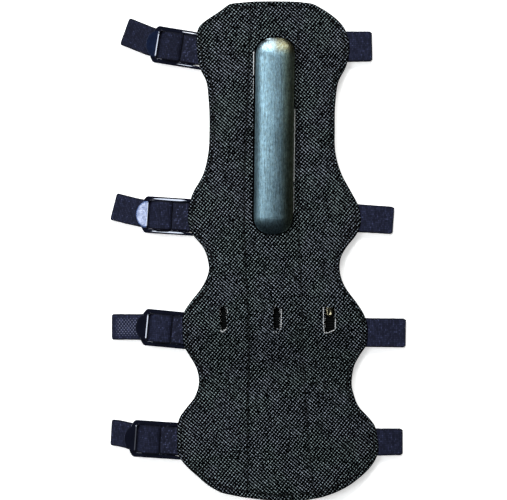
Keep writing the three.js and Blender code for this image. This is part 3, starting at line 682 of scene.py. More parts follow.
COVER, LINING, BARMETAL, STEEL = cover_material(), lining_material(), bar_material(), stay_material()
ELASTIC = elastic_material("elastic", (0.0016, 0.0020, 0.0060), (0.064, 0.075, 0.170), 1.25, 1.0, (0.93, 0.9))
WEBBING = elastic_material("webbing", (0.0012, 0.0015, 0.0048), (0.066, 0.075, 0.155), 1.0, 0.9, (0.8, 2.2))
PLASTIC, THREAD = plastic_material(), thread_material()
FRAY = fray_material("cut_yarn", (0.45, 0.46, 0.47), (0.93, 0.94, 0.95))
FRAY_DIM = fray_material("cut_edge", (0.3, 0.31, 0.33), (0.9, 0.92, 0.94))

# ---------------------------------------------------------------- plan of the pad
STITCH = 4.3                     # pitch of the sewn stitches
_ys = [SECTIONS[0, 0]]
for _a, _b in zip(SECTIONS[:-1, 0], SECTIONS[1:, 0]):
    _k = 14 if _a - _b > 7.5 else 1
    _ys += [_a + (_b - _a) * (_j + 1) / _k for _j in range(_k)]
_ys = np.array(_ys)
_raw = np.vstack([np.c_[edge_right(_ys), _ys], np.c_[edge_left(_ys), _ys][::-1]])[::-1]
_n = 4 * int(round(loop_length(_raw) / STITCH))
OUTLINE = soften(resample(_raw, 3 * _n), 4.5)
OUTLINE = resample(OUTLINE, _n)
OUT_N = loop_normals(OUTLINE)
STEP = loop_length(OUTLINE) / _n


def inset_of(y):
    """How far the edge stitch runs inside the edge: wider at the lower end."""
    return 2.75 + 1.5 * smooth(-140, -158, y) + 0.5 * smooth(146, 158, y)


STITCH_LOOP = OUTLINE - OUT_N * inset_of(OUTLINE[:, 1])[:, None]
def bar_axis(y):
    """The bar leans a little off the pad's length."""
    return BAR["x"] + BAR["lean"] * (y - (BAR["top"] + BAR["bottom"]) / 2)


WINDOW_X, WINDOW_HALF = BAR["x"] - 0.35, BAR["half"] + 0.95
WINDOW = rounded_loop(WINDOW_X, (BAR["top"] + BAR["bottom"]) / 2, WINDOW_HALF,
                      (BAR["top"] - BAR["bottom"]) / 2 + WINDOW_CLEAR, BAR["corner"] + WINDOW_CLEAR, 1.0)
WINDOW[:, 0] += bar_axis(WINDOW[:, 1]) - BAR["x"]
SLIT_LOOPS = [rounded_loop(x, y, w / 2, t / 2, 0.9, 0.55, lean) for x, y, w, t, lean in SLITS]


def frayed(loop, seed, size):
    """A cut edge that wanders a little."""
    n = loop_normals(loop)
    w = np.array([noise.noise(Vector((a / 1.3, b / 1.3, seed))) for a, b in loop])
    return loop + n * (w * size)[:, None]


SLIT_LOOPS = [frayed(l, 3.0 + i, 0.28) for i, l in enumerate(SLIT_LOOPS)]
WINDOW = frayed(WINDOW, 9.0, 0.12)


def buckle_rear(s):
    a = math.radians(s["turn"])
    return s["bar_x"] + BUCKLE["bar_line"] * math.cos(a), s["bar_y"] - BUCKLE["bar_line"] * math.sin(a), a


def stub_turn(s):
    return math.atan2(s["root_y"] - s["tip_y"], s["tip_x"] - s["root_x"])


# Frames of the sewn ends: origin, unit vector outwards, half width.
ENDS_LEFT, ENDS_RIGHT = [], []
for _s in STRAPS:
    _x, _y, _a = buckle_rear(_s)
    ENDS_LEFT.append((np.array([float(edge_left(_y)), _y]), np.array([-math.cos(_a), math.sin(_a)]), LOOP_W / 2))
    _a = stub_turn(_s)
    ENDS_RIGHT.append((np.array([_s["root_x"], _s["root_y"]]), np.array([math.cos(_a), -math.sin(_a)]), _s["stub_w"] / 2))


def along_end(end, x, y):
    """How far a point lies inside the edge along a sewn end, and off its middle line."""
    o, d, half = end
    return -((x - o[0]) * d[0] + (y - o[1]) * d[1]), np.abs(-(x - o[0]) * d[1] + (y - o[1]) * d[0]) - half


def cover_top(x, y, d, s, cuts, window):
    """Height of the cover: puffed channels, sewn lines, rounded edge, ridges of the sewn ends."""
    z = backing_top(x, y) + GAP + puff(x, y) + COVER_T
    z -= 0.95 * (1 - np.sqrt(np.maximum(0, 1 - np.maximum(0, 1 - d / 1.5) ** 2)))
    inset = inset_of(y)
    line = np.exp(-((d - inset) / 0.6) ** 2)
    beat = np.cos(2 * np.pi * s / (4 * STEP))
    z -= line * (0.34 - 0.16 * beat)
    z += 0.16 * np.exp(-((d - inset - 1.5) / 0.9) ** 2) + 0.10 * np.exp(-((d - inset + 1.1) / 0.6) ** 2)
    a, b = seam_x(y)
    free = smooth(2.0, 4.0, d)
    pick = np.cos(2 * np.pi * y / STITCH)
    z -= free * np.exp(-((x - a) / 0.75) ** 2) * (0.52 - 0.18 * pick)
    z -= free * np.exp(-((x - b) / 0.7) ** 2) * (0.36 - 0.14 * pick)
    z += free * (0.16 * np.exp(-((x - a + 1.9) / 0.9) ** 2) + 0.22 * np.exp(-((x - a - 1.9) / 0.9) ** 2)
                 + 0.10 * np.exp(-((x - b + 1.9) / 0.8) ** 2) + 0.30 * np.exp(-((x - b - 2.0) / 0.9) ** 2))
    for end in ENDS_LEFT:
        depth, off = along_end(end, x, y)
        z += 0.45 * smooth(6.0, 8.2, depth) * smooth(2.0, -1.0, off) * smooth(24, 9, depth)
    for end in ENDS_RIGHT:
        depth, off = along_end(end, x, y)
        z += 0.30 * smooth(10.5, 7.5, depth) * smooth(1.5, -0.6, off) * smooth(-2, 4, depth)
    z += 0.30 * np.exp(-(cuts / 1.1) ** 2) + 0.25 * np.exp(-(window / 1.6) ** 2)
    z -= 1.1 * smooth(-45.5, -57, y) * smooth(-104, -62, y) * smooth(0, 14, d)
    rough = smooth(0.5, 5, d)
    z += rough * (0.34 * wrinkle(x, y, 34.0, 1.0) + 0.16 * wrinkle(x, y, 12.0, 2.0) + 0.06 * wrinkle(x, y, 4.5, 4.0))
    return z


def pad_points():
    """Free plan points of the cover."""
    rings = []
    inset = inset_of(OUTLINE[:, 1])
    for off in (0.35, 0.85, 1.5):
        rings.append((OUTLINE - OUT_N * off, off))
    for off in (-0.55, 0.0, 0.55, 1.25, 2.1):
        rings.append((OUTLINE - OUT_N * (inset + off)[:, None], None))
    groups = []
    for pts, _ in rings:
        groups.append((pts[inside(pts, OUTLINE)], 0.33))
    ys = np.arange(-158.5, 158.6, STITCH / 4)
    a, b = seam_x(ys)
    for off in (0.0, -0.35, 0.35, -0.8, 0.8, -1.4, 1.4, -2.2, 2.2):
        for c in (a, b):
            groups.append((np.c_[c + off, ys], 0.33))
    nw = loop_normals(WINDOW)
    for off in (0.45, 1.0, 1.8):
        groups.append((WINDOW + nw * off, 0.33))
    for loop in SLIT_LOOPS:
        n = loop_normals(loop)
        for off in (0.3, 0.7, 1.3, 2.1):
            groups.append((loop + n * off, 0.25))
    gx, gy = np.meshgrid(np.arange(-54, 80, 1.45), np.arange(-162, 162, 1.45))
    gx = gx + (np.arange(gx.shape[0]) % 2)[:, None] * 0.72
    groups.append((np.c_[gx.ravel(), gy.ravel()], 0.95))
    out = []
    for pts, least in groups:
        pts = pts[inside(pts, OUTLINE)]
        hole = inside(pts, WINDOW)
        for loop in SLIT_LOOPS:
            hole |= inside(pts, loop)
        pts = pts[~hole]
        d, _ = near(pts, OUTLINE)
        out.append((pts[d > 0.25], least))
    return out


def not_cut(c):
    keep = inside(c, OUTLINE) & ~inside(c, WINDOW)
    for loop in SLIT_LOOPS:
        keep &= ~inside(c, loop)
    return keep


def pad_state(v):
    d, s = near(v, OUTLINE)
    cuts = np.min([near(v, l)[0] for l in SLIT_LOOPS], axis=0)
    window = near(v, WINDOW)[0]
    return d, s, cuts, window


def build_cover():
    v, f = plan_mesh([OUTLINE, WINDOW] + SLIT_LOOPS, pad_points(), not_cut)
    d, s, cuts, window = pad_state(v)
    top = cover_top(v[:, 0], v[:, 1], d, s, cuts, window)
    thick = 0.42 + 0.68 * smooth(0.0, 2.0, d)
    verts, faces = closed_plate(v, f, top, top - thick, 0.12)
    k = len(verts) - 2 * len(v)
    edge = np.r_[d, d, np.zeros(k)]
    cut = np.r_[np.minimum(cuts, window), np.minimum(cuts, window), np.zeros(k)]
    sa, sb = seam_x(v[:, 1])
    free = smooth(2.0, 4.0, d)
    # painted shade along the two seams, stronger at the left one, and in dashes along the edge stitch line
    sewn = free * np.maximum(0.95 * np.exp(-((v[:, 0] - sa) / 0.6) ** 2), 0.48 * np.exp(-((v[:, 0] - sb) / 0.6) ** 2))
    dash = 0.74 - 0.26 * np.cos(2 * np.pi * s / (4 * STEP))
    sewn = np.maximum(sewn, dash * np.exp(-((d - inset_of(v[:, 1])) / 0.75) ** 2))
    sewn = np.r_[sewn, sewn, np.zeros(k)]
    # painted shade in a band below the slits and towards the lower right edge, and painted light over the right side
    # above the slits
    painted_light_and_shade = 1 + 0.28 * smooth(18, 34, v[:, 0]) * smooth(-45, -30, v[:, 1]) - 0.25 * smooth(-50, -56, v[:, 1]) * smooth(-92, -74, v[:, 1]) - 0.08 * smooth(30, 70, v[:, 0]) * smooth(-80, -130, v[:, 1])
    painted_light_and_shade = np.r_[painted_light_and_shade, painted_light_and_shade, np.ones(k)]
    obj = piece("cover_cloth", verts, faces, COVER, ["front_cover"], {"edge": edge, "cut": cut, "sewn": sewn, "painted_light_and_shade": painted_light_and_shade}, 55)
    area = 0.5 * np.abs(np.cross(v[f[:, 1]] - v[f[:, 0]], v[f[:, 2]] - v[f[:, 0]])).sum()
    return obj, area * MM * MM


def surface(x, y):
    """Cover height at single places, for what is sewn on it."""
    p = np.c_[np.atleast_1d(x), np.atleast_1d(y)]
    d, s, cuts, window = pad_state(p)
    return cover_top(p[:, 0], p[:, 1], d, s, cuts, window)


cover, COVER_AREA = build_cover()


# ---------------------------------------------------------------- lining pad
def notch_loops():
    loops = []
    for s in STRAPS:
        x, y, a = buckle_rear(s)
        edge = float(edge_left(y)) - x
        out, across = np.array([-math.cos(a), math.sin(a)]), np.array([math.sin(a), math.cos(a)])
        o = np.array([x, y])
        r = []
        for u, w in ((8, -NOTCH_W / 2), (8, NOTCH_W / 2), (-edge - NOTCH_D, NOTCH_W / 2), (-edge - NOTCH_D, -NOTCH_W / 2)):
            r.append(o + out * u + across * w)
        loops.append(resample(np.array(r), 90))
    return loops


def pocket_depth(x, y):
    """1 inside the recesses that take the sewn ends."""
    m = np.zeros_like(x)
    for end in ENDS_LEFT + ENDS_RIGHT:
        depth, off = along_end(end, x, y)
        m = np.maximum(m, smooth(STRAP_IN + 1.7, STRAP_IN + 0.9, depth) * smooth(1.2, 0.4, off))
    return m


def build_lining():
    rim = OUTLINE - OUT_N * BACKING_INSET
    notches = notch_loops()

    def keep(c):
        k = inside(c, rim)
        for n in notches:
            k &= ~inside(c, n)
        return k

    groups = []
    for off in (0.4, 0.9, 1.6):
        groups.append((rim - OUT_N * off, 0.35))
    ys = np.arange(-157, 157.1, STITCH / 3)
    a, b = seam_x(ys)
    for off in (0.0, -0.5, 0.5, -1.2, 1.2, -2.2, 2.2):
        for c in (a, b):
            groups.append((np.c_[c + off, ys], 0.45))
    for off in (-0.7, 0.0, 0.7):
        groups.append((STITCH_LOOP - OUT_N * off, 0.4))
    for x, y, w, t, lean in SLITS:
        gx, gy = np.meshgrid(np.arange(-w / 2 - 1, w / 2 + 1.01, 0.8), np.arange(-t / 2 - 1, t / 2 + 1.01, 0.27))
        groups.append((np.c_[gx.ravel() + x, gy.ravel() + y], 0.24))
    for end in ENDS_LEFT + ENDS_RIGHT:
        o, dr, half = end
        side = np.array([-dr[1], dr[0]])
        for e in (0.2, 0.75, 1.3):
            r = np.array([o - dr * (STRAP_IN + 0.9 + e - 0.2) + side * w for w in np.linspace(-half - e, half + e, 26)])
            groups.append((r, 0.3))
            for sg in (-1, 1):
                r = np.array([o - dr * u + side * sg * (half + e) for u in np.linspace(0.5, STRAP_IN + 0.9, 13)])
                groups.append((r, 0.3))
    gx, gy = np.meshgrid(np.arange(-54, 80, 2.1), np.arange(-162, 162, 2.1))
    groups.append((np.c_[gx.ravel(), gy.ravel()], 1.2))
    clean = []
    for pts, least in groups:
        pts = pts[inside(pts, rim)]
        d, _ = near(pts, rim)
        pts = pts[d > 0.3]
        for n in notches:
            dn, _ = near(pts, n)
            pts = pts[(dn > 0.3) & ~inside(pts, n)]
        clean.append((pts, least))
    v, f = plan_mesh([rim] + notches, clean, keep)
    x, y = v[:, 0], v[:, 1]
    d, s, cuts, window = pad_state(v)
    over = cover_top(x, y, d, s, cuts, window) - 1.1
    top = np.minimum(backing_top(x, y), over - 0.12)
    m = pocket_depth(x, y)
    top = top * (1 - m) + np.minimum(top, POCKET_FLOOR) * m
    xs = STAY["x_top"] + (STAY["x_end"] - STAY["x_top"]) * (STAY["y_top"] - y) / (STAY["y_top"] - STAY["y_end"])
    groove = smooth(3.3, 2.7, np.abs(x - xs)) * smooth(STAY["y_end"] - 0.9, STAY["y_end"] - 0.4, y) * smooth(STAY["y_top"] + 0.9, STAY["y_top"] + 0.4, y)
    top -= groove * 1.05
    for sx, sy, w, t, lean in SLITS:
        box = smooth(w / 2 + 1.6, w / 2 + 0.6, np.abs(x - sx)) * smooth(t / 2 + 1.6, t / 2 + 0.6, np.abs(y - sy))
        top -= box * (1 - groove) * (0.25 + 0.17 * np.cos(2 * np.pi * y / 1.62))
    low = backing_low(x, y)
    bare = smooth(1.0, 4.0, d - BACKING_INSET)
    sa, sb = seam_x(y)
    pick = np.cos(2 * np.pi * y / STITCH)
    low += bare * (np.exp(-((x - sa) / 0.9) ** 2) + np.exp(-((x - sb) / 0.9) ** 2)) * (0.5 - 0.15 * pick)
    low += np.exp(-((d - inset_of(y)) / 0.7) ** 2) * (0.45 - 0.15 * np.cos(2 * np.pi * s / (4 * STEP)))
    low += 0.7 * (1 - np.sqrt(np.maximum(0, 1 - np.maximum(0, 1 - (d - BACKING_INSET) / 1.4) ** 2)))
    low += 0.12 * bare * wrinkle(x, y, 16.0, 6.0)
    low = np.minimum(low, top - 0.35)
    verts, faces = closed_plate(v, f, top, low, 0.1)
    return piece("lining_pad", verts, faces, LINING, ["backing"], None, 50), low, v


lining, _low, _v = build_lining()


# ---------------------------------------------------------------- stitches
def stitch_path(p, q, lift, sink, rows=7):
    """One stitch from hole p to hole q in plan, arched over the cloth."""
    t = np.linspace(0, 1, rows)
    xy = p[None] * (1 - t)[:, None] + q[None] * t[:, None]
    return xy, lift * np.sin(np.pi * t) ** 0.5 - sink * (1 - np.sin(np.pi * t) ** 0.4)


def lay_stitches(line, closed, pitch, fill, radius, low=False):
    """Stitches laid along a plan line."""
    pts = np.vstack([line, line[:1]]) if closed else line
    s = np.r_[0, np.cumsum(np.linalg.norm(np.diff(pts, axis=0), axis=1))]
    count = int(round(s[-1] / pitch))
    pitch = s[-1] / count
    plans, lifts = [], []
    for i in range(count):
        at = np.array([i + 0.5 - fill / 2, i + 0.5 + fill / 2]) * pitch
        e = np.c_[np.interp(at, s, pts[:, 0]), np.interp(at, s, pts[:, 1])]
        e += RNG.normal(0, 0.05, (2, 2))
        xy, h = stitch_path(e[0], e[1], 0.20, 0.35)
        plans.append(xy)
        lifts.append(h)
    flat = np.vstack(plans)
    if low:
        z = backing_low(flat[:, 0], flat[:, 1]) + 0.42 - np.concatenate(lifts)
    else:
        z = surface(flat[:, 0], flat[:, 1]) + np.concatenate(lifts)
    rows = len(plans[0])
    z = z.reshape(-1, rows)
    paths = [np.c_[xy, z[i]] for i, xy in enumerate(plans)]
    shape = 0.55 + 0.45 * np.sin(np.pi * np.linspace(0, 1, rows)) ** 0.5
    return paths, [radius * shape for _ in paths]


def seam_lines(margin=4.6):
    ys = np.arange(161.5 - margin, -161.6 + margin, -0.7)
    a, b = seam_x(ys)
    out = []
    for c in (a, b):
        line = np.c_[c, ys]
        d, _ = near(line, OUTLINE)
        line = line[(d > 4.0) & inside(line, OUTLINE)]
        out.append(line)
    return out


def build_stitches():
    done = []
    paths, radii = lay_stitches(STITCH_LOOP, True, STITCH, 0.66, 0.37)
    v, f = tubes(paths, radii, 6, 0.8)
    done.append(piece("stitch_edge", v, f, THREAD, (), None, 70))
    paths, radii = [], []
    for line in seam_lines():
        p, r = lay_stitches(line, False, 4.2, 0.62, 0.34)
        paths += p
        radii += r
    v, f = tubes(paths, radii, 6, 0.8)
    done.append(piece("stitch_seams", v, f, THREAD, (), None, 70))
    paths, radii = lay_stitches(STITCH_LOOP, True, STITCH, 0.7, 0.27, True)
    for line in seam_lines():
        p, r = lay_stitches(line, False, 4.2, 0.7, 0.27, True)
        paths += p
        radii += r
    keep = []
    for i, p in enumerate(paths):
        blocked = any(inside(p[:, :2], n).any() for n in notch_loops())
        keep.append(not blocked)
    paths = [p for p, k in zip(paths, keep) if k]
    radii = [r for r, k in zip(radii, keep) if k]
    v, f = tubes(paths, radii, 6, 0.8)
    done.append(piece("stitch_back", v, f, THREAD, (), None, 70))
    return done


stitches = build_stitches()


# ---------------------------------------------------------------- cut edges of the slits and the window
def edge_run(loop, a, b, n):
    """Points of a closed loop between two angles about its middle, counter-clockwise."""
    c = loop.mean(0)
    ang = np.degrees(np.arctan2(loop[:, 1] - c[1], loop[:, 0] - c[0])) % 360
    order = np.argsort(ang)
    t = np.linspace(a, b if b > a else b + 360, n) % 360
    ext = np.r_[ang[order] - 360, ang[order], ang[order] + 360]
    p = np.vstack([loop[order]] * 3)
    return np.c_[np.interp(t, ext, p[:, 0]), np.interp(t, ext, p[:, 1])]


def straight_run(p, q, n, seed, sway):
    t = np.linspace(0, 1, n)
    xy = np.array(p)[None] * (1 - t)[:, None] + np.array(q)[None] * t[:, None]
    d = unit(np.array([q[0] - p[0], q[1] - p[1]]))
    w = np.array([noise.noise(Vector((k * 0.45, seed, 7.0))) for k in range(n)])
    return xy + np.array([-d[1], d[0]])[None] * (w * sway)[:, None]


def at(px, py):
    """Plan place of a point given in the picture's frame."""
    return (px - 258.25) * 0.65, (251.5 - py) * 0.65


def yarn_on(xy, lift, radius):
    z = surface(xy[:, 0], xy[:, 1]) + lift
    return np.c_[xy, z], radius


# Light cut yarns at the slits: from, to (picture frame), thickness, height over the cloth.
CUT_RUNS = [
    ((227.3, 308.6), (227.7, 310.2), 0.20, -0.05), ((227.9, 311.2), (228.0, 313.0), 0.22, -0.05),
    ((220.6, 329.8), (222.8, 331.8), 0.24, -0.05), ((222.8, 331.8), (226.2, 328.8), 0.26, -0.05),
    ((226.4, 328.6), (227.2, 326.6), 0.15, -0.1),
    ((281.0, 308.4), (281.1, 318.0), 0.24, -0.05), ((281.0, 318.2), (280.8, 327.4), 0.22, -0.05),
    ((280.4, 327.6), (279.4, 330.2), 0.14, -0.05), ((273.0, 331.2), (274.2, 331.4), 0.17, 0.0),
    ((275.6, 331.6), (276.5, 331.5), 0.17, 0.0), ((278.2, 331.4), (279.2, 331.2), 0.18, 0.0),
    ((274.4, 305.6), (275.6, 305.5), 0.15, 0.0),
    ((323.0, 307.0), (323.0, 316.0), 0.22, -0.05), ((323.0, 316.2), (323.2, 325.0), 0.20, -0.05),
    ((323.2, 325.2), (323.8, 332.2), 0.22, -0.05), ((324.0, 332.4), (327.8, 332.6), 0.24, 0.0),
    ((327.9, 332.4), (334.4, 329.6), 0.26, 0.0), ((335.0, 329.0), (335.2, 319.0), 0.20, -0.05),
    ((335.1, 318.6), (334.9, 309.0), 0.06, -0.15),
]


def build_cut_yarns():
    paths, radii = [], []
    for i, (p, q, r, lift) in enumerate(CUT_RUNS):
        a, b = at(*p), at(*q)
        n = max(5, int(math.dist(a, b) / 0.25))
        r, lift = r * 1.5, lift + 0.1
        xy = straight_run(a, b, n, i * 1.7, 0.22)
        path, _ = yarn_on(xy, lift, r)
        paths.append(path)
        run = np.linspace(0, math.dist(a, b), n)
        wob = (0.2 + 0.8 * np.abs(np.cos(np.pi * run / 1.22 + i)) ** 1.4) * (1.15 + 0.6 * np.array([noise.noise(Vector((k * 0.7, i * 2.3, 1.0))) for k in range(n)]))
        wob[0] *= 0.45
        wob[-1] *= 0.45
        radii.append(r * wob)
    # short ends of cut yarns that stand into each slit
    for loop, (cx, cy, w, t, lean), strong in zip(SLIT_LOOPS, SLITS, ((0,), (1,), (0,))):
        n = loop_normals(loop)
        for k in range(0, len(loop), 2):
            if RNG.random() < 0.35:
                continue
            side = 1 if loop[k, 0] > cx else 0
            reach = (0.75 if side in strong else 0.45) * (0.5 + RNG.random())
            tip = loop[k] - n[k] * reach + RNG.normal(0, 0.15, 2)
            xy = np.linspace(loop[k] + n[k] * 0.35, tip, 5)
            z = surface(np.array([loop[k, 0] + n[k, 0] * 0.3]), np.array([loop[k, 1] + n[k, 1] * 0.3]))[0]
            drop = np.linspace(0, 1, 5) ** 1.6 * (0.2 + 0.5 * RNG.random())
            paths.append(np.c_[xy, z - 0.2 - drop])
            radii.append(np.linspace(0.10, 0.05, 5))
    v, f = tubes(paths, radii, 5)
    bright = piece("cut_yarn_slits", v, f, FRAY, (), None, 70)
    paths, radii = [], []
    nw = loop_normals(WINDOW)
    for side, y0, y1, r in ((-1, 129, 113, 0.29), (-1, 112, 98, 0.15), (-1, 96, 60, 0.08), (1, 92, 44, 0.28), (1, 43, 24, 0.14), (-1, 57, 25, 0.08)):
        ys = np.arange(y0, y1, -0.8)
        xs = bar_axis(ys) + WINDOW_X - BAR["x"] + side * (WINDOW_HALF + 0.08) + 0.12 * np.array([noise.noise(Vector((q * 0.4, side * 3.0, 2.0))) for q in ys])
        z = surface(xs + side * 0.2, ys) - 0.05
        paths.append(np.c_[xs, ys, z])
        radii.append(r * (1 + 0.4 * np.array([noise.noise(Vector((q * 0.9, side * 5.0, 8.0))) for q in ys])))
    v, f = tubes(paths, radii, 5)
    dim = piece("cut_edge_window", v, f, FRAY, (), None, 70)
    return [bright, dim]


cut_yarns = build_cut_yarns()


# ---------------------------------------------------------------- bar
def build_bar():
    mid, half_y = (BAR["top"] + BAR["bottom"]) / 2, (BAR["top"] - BAR["bottom"]) / 2
    base = float(backing_top(np.array(BAR["x"]), np.array(mid))) + GAP
    half = BAR["half"]
    rows, cols, end = [], 45, 11.8
    ds = list(end * (1 - np.cos(np.linspace(0, np.pi / 2, 30))))
    ds += list(np.linspace(end, 2 * half_y - end, 92)[1:-1])
    ds += list(2 * half_y - end * (1 - np.cos(np.linspace(np.pi / 2, 0, 30))))
    for d in ds:
        e = min(d, 2 * half_y - d)
        wide = half if e >= end else half * max(0.004, 1 - (1 - e / end) ** 2.35) ** (1 / 2.35)
        c = np.cos(np.linspace(0, np.pi, cols))
        rows.append((BAR["top"] - d, bar_axis(BAR["top"] - d) - wide * c))
    y = np.repeat([r[0] for r in rows], cols)
    x = np.concatenate([r[1] for r in rows])
    e = np.minimum(BAR["top"] - y, y - BAR["bottom"])
    # the dome follows the rounded ends in plan
    wide = np.repeat([abs(r[1][0] - bar_axis(r[0])) for r in rows], cols)
    u = (x - bar_axis(y)) / np.maximum(wide, 0.55 * half)
    # slope of the flattened crown across the bar: almost level in the middle, rounded down at both sides
    grid = np.linspace(-1, 1, 801)
    steep = np.interp(grid, [-1, -0.92, -0.82, -0.716, -0.612, -0.508, -0.4, -0.2, 0.0, 0.114, 0.218, 0.32, 0.425, 0.53, 0.63, 0.736, 0.84, 0.94, 1],
                      [-1.0, -0.75, -0.58, -0.40, -0.30, -0.24, -0.205, -0.15, -0.105, -0.07, -0.045, -0.015, 0.045, 0.11, 0.19, 0.35, 0.50, 0.75, 0.95])
    fall = np.r_[0, np.cumsum(0.5 * (steep[1:] + steep[:-1]) * np.diff(grid))] * half / (BAR["rise"] - BAR["rim"])
    across = 1 - (np.interp(u, grid, fall) - fall.min())
    reach = np.where(y > mid, 15.0, 11.5)
    along = 1 - 0.82 * np.maximum(0, 1 - e / reach) ** 2
    dome = np.maximum(0, across * along) ** 0.9
    # edge distance in plan rounds the rim into the dome
    bow = 1.3 * ((y - mid) / half_y) ** 2
    high = base + BAR["rim"] + (BAR["rise"] - BAR["rim"]) * dome - bow * (0.25 + 0.75 * dome)
    low = backing_top(x, y) + GAP
    n, m = len(rows), cols
    v = np.vstack([np.c_[x, y, high], np.c_[x, y, low]])
    f = []
    T = lambda i, j: i * m + j
    B = lambda i, j: n * m + i * m + j
    for i in range(n - 1):
        for j in range(m - 1):
            f.append((T(i, j), T(i + 1, j), T(i + 1, j + 1), T(i, j + 1)))
            f.append((B(i, j), B(i, j + 1), B(i + 1, j + 1), B(i + 1, j)))
        f.append((T(i, 0), B(i, 0), B(i + 1, 0), T(i + 1, 0)))
        f.append((T(i, m - 1), T(i + 1, m - 1), B(i + 1, m - 1), B(i, m - 1)))
    for j in range(m - 1):
        f.append((T(0, j + 1), B(0, j + 1), B(0, j), T(0, j)))
        f.append((T(n - 1, j), B(n - 1, j), B(n - 1, j + 1), T(n - 1, j + 1)))
    return piece("bar_body", v, f, BARMETAL, ["guard_bar"], None, 55)


bar = build_bar()


# ---------------------------------------------------------------- stay
def build_stay():
    length, half = STAY["y_top"] - STAY["y_end"], STAY["half"]
    ds = np.r_[half * (1 - np.cos(np.linspace(0.12, np.pi / 2, 12))), np.linspace(half, length - half, 120)[1:-1],
               length - half * (1 - np.cos(np.linspace(np.pi / 2, 0.12, 12)))]
    prof = np.linspace(-1, 1, 13)
    verts, faces = [], []
    for d in ds:
        e = min(d, length - d)
        w = half if e >= half else math.sqrt(max(0.0, half * half - (half - e) ** 2))
        y = STAY["y_top"] - d
        x = STAY["x_top"] + (STAY["x_end"] - STAY["x_top"]) * d / length
        low = float(backing_top(np.array(x), np.array(y))) - STAY["sunk"]
        crown = 0.30 * (1 - min(1, e / 1.1)) ** 2
        # inside its channel the strip lies at the slant of the padding
        slant = float(smooth(-32.0, -12.0, y)) * float(backing_top(np.array(x + 2.0), np.array(y)) - backing_top(np.array(x - 2.0), np.array(y))) / 4.0
        ring = [(x + w * c, y, low + slant * w * c + STAY["thick"] - 0.28 * abs(c) ** 5 - crown) for c in prof]
        ring += [(x + w * c, y, low + slant * w * c + 0.2 * abs(c) ** 5) for c in prof[::-1]]
        # a small punched dimple near the end that shows
        hole = (STAY["x_end"], STAY["y_end"] + 2.3)
        ring = [(a, b, c - (0.55 * max(0.0, 1 - ((a - hole[0]) ** 2 + (b - hole[1]) ** 2) / 0.72) if i < 13 else 0)) for i, (a, b, c) in enumerate(ring)]
        verts += ring
    k = 26
    for i in range(len(ds) - 1):
        for j in range(k):
            j1 = (j + 1) % k
            faces.append((i * k + j, (i + 1) * k + j, (i + 1) * k + j1, i * k + j1))
    faces.append(tuple(range(k)))
    faces.append(tuple(reversed(range((len(ds) - 1) * k, len(ds) * k))))
    return piece("stay_strip", verts, faces, STEEL, ["side_stay"], None, 40)


stay = build_stay()


# ---------------------------------------------------------------- straps and loops
def buckle_side(v, h):
    p = BUCKLE["pitch"]
    return v * math.cos(p) - h * math.sin(p), BUCKLE["rear_z"] + v * math.sin(p) + h * math.cos(p)


def hermite(p0, d0, p1, d1, t):
    return (2 * t ** 3 - 3 * t ** 2 + 1) * p0 + (t ** 3 - 2 * t ** 2 + t) * d0 + (3 * t ** 2 - 2 * t ** 3) * p1 + (t ** 3 - t ** 2) * d1


def ease(t):
    return float(smooth(0, 1, t))


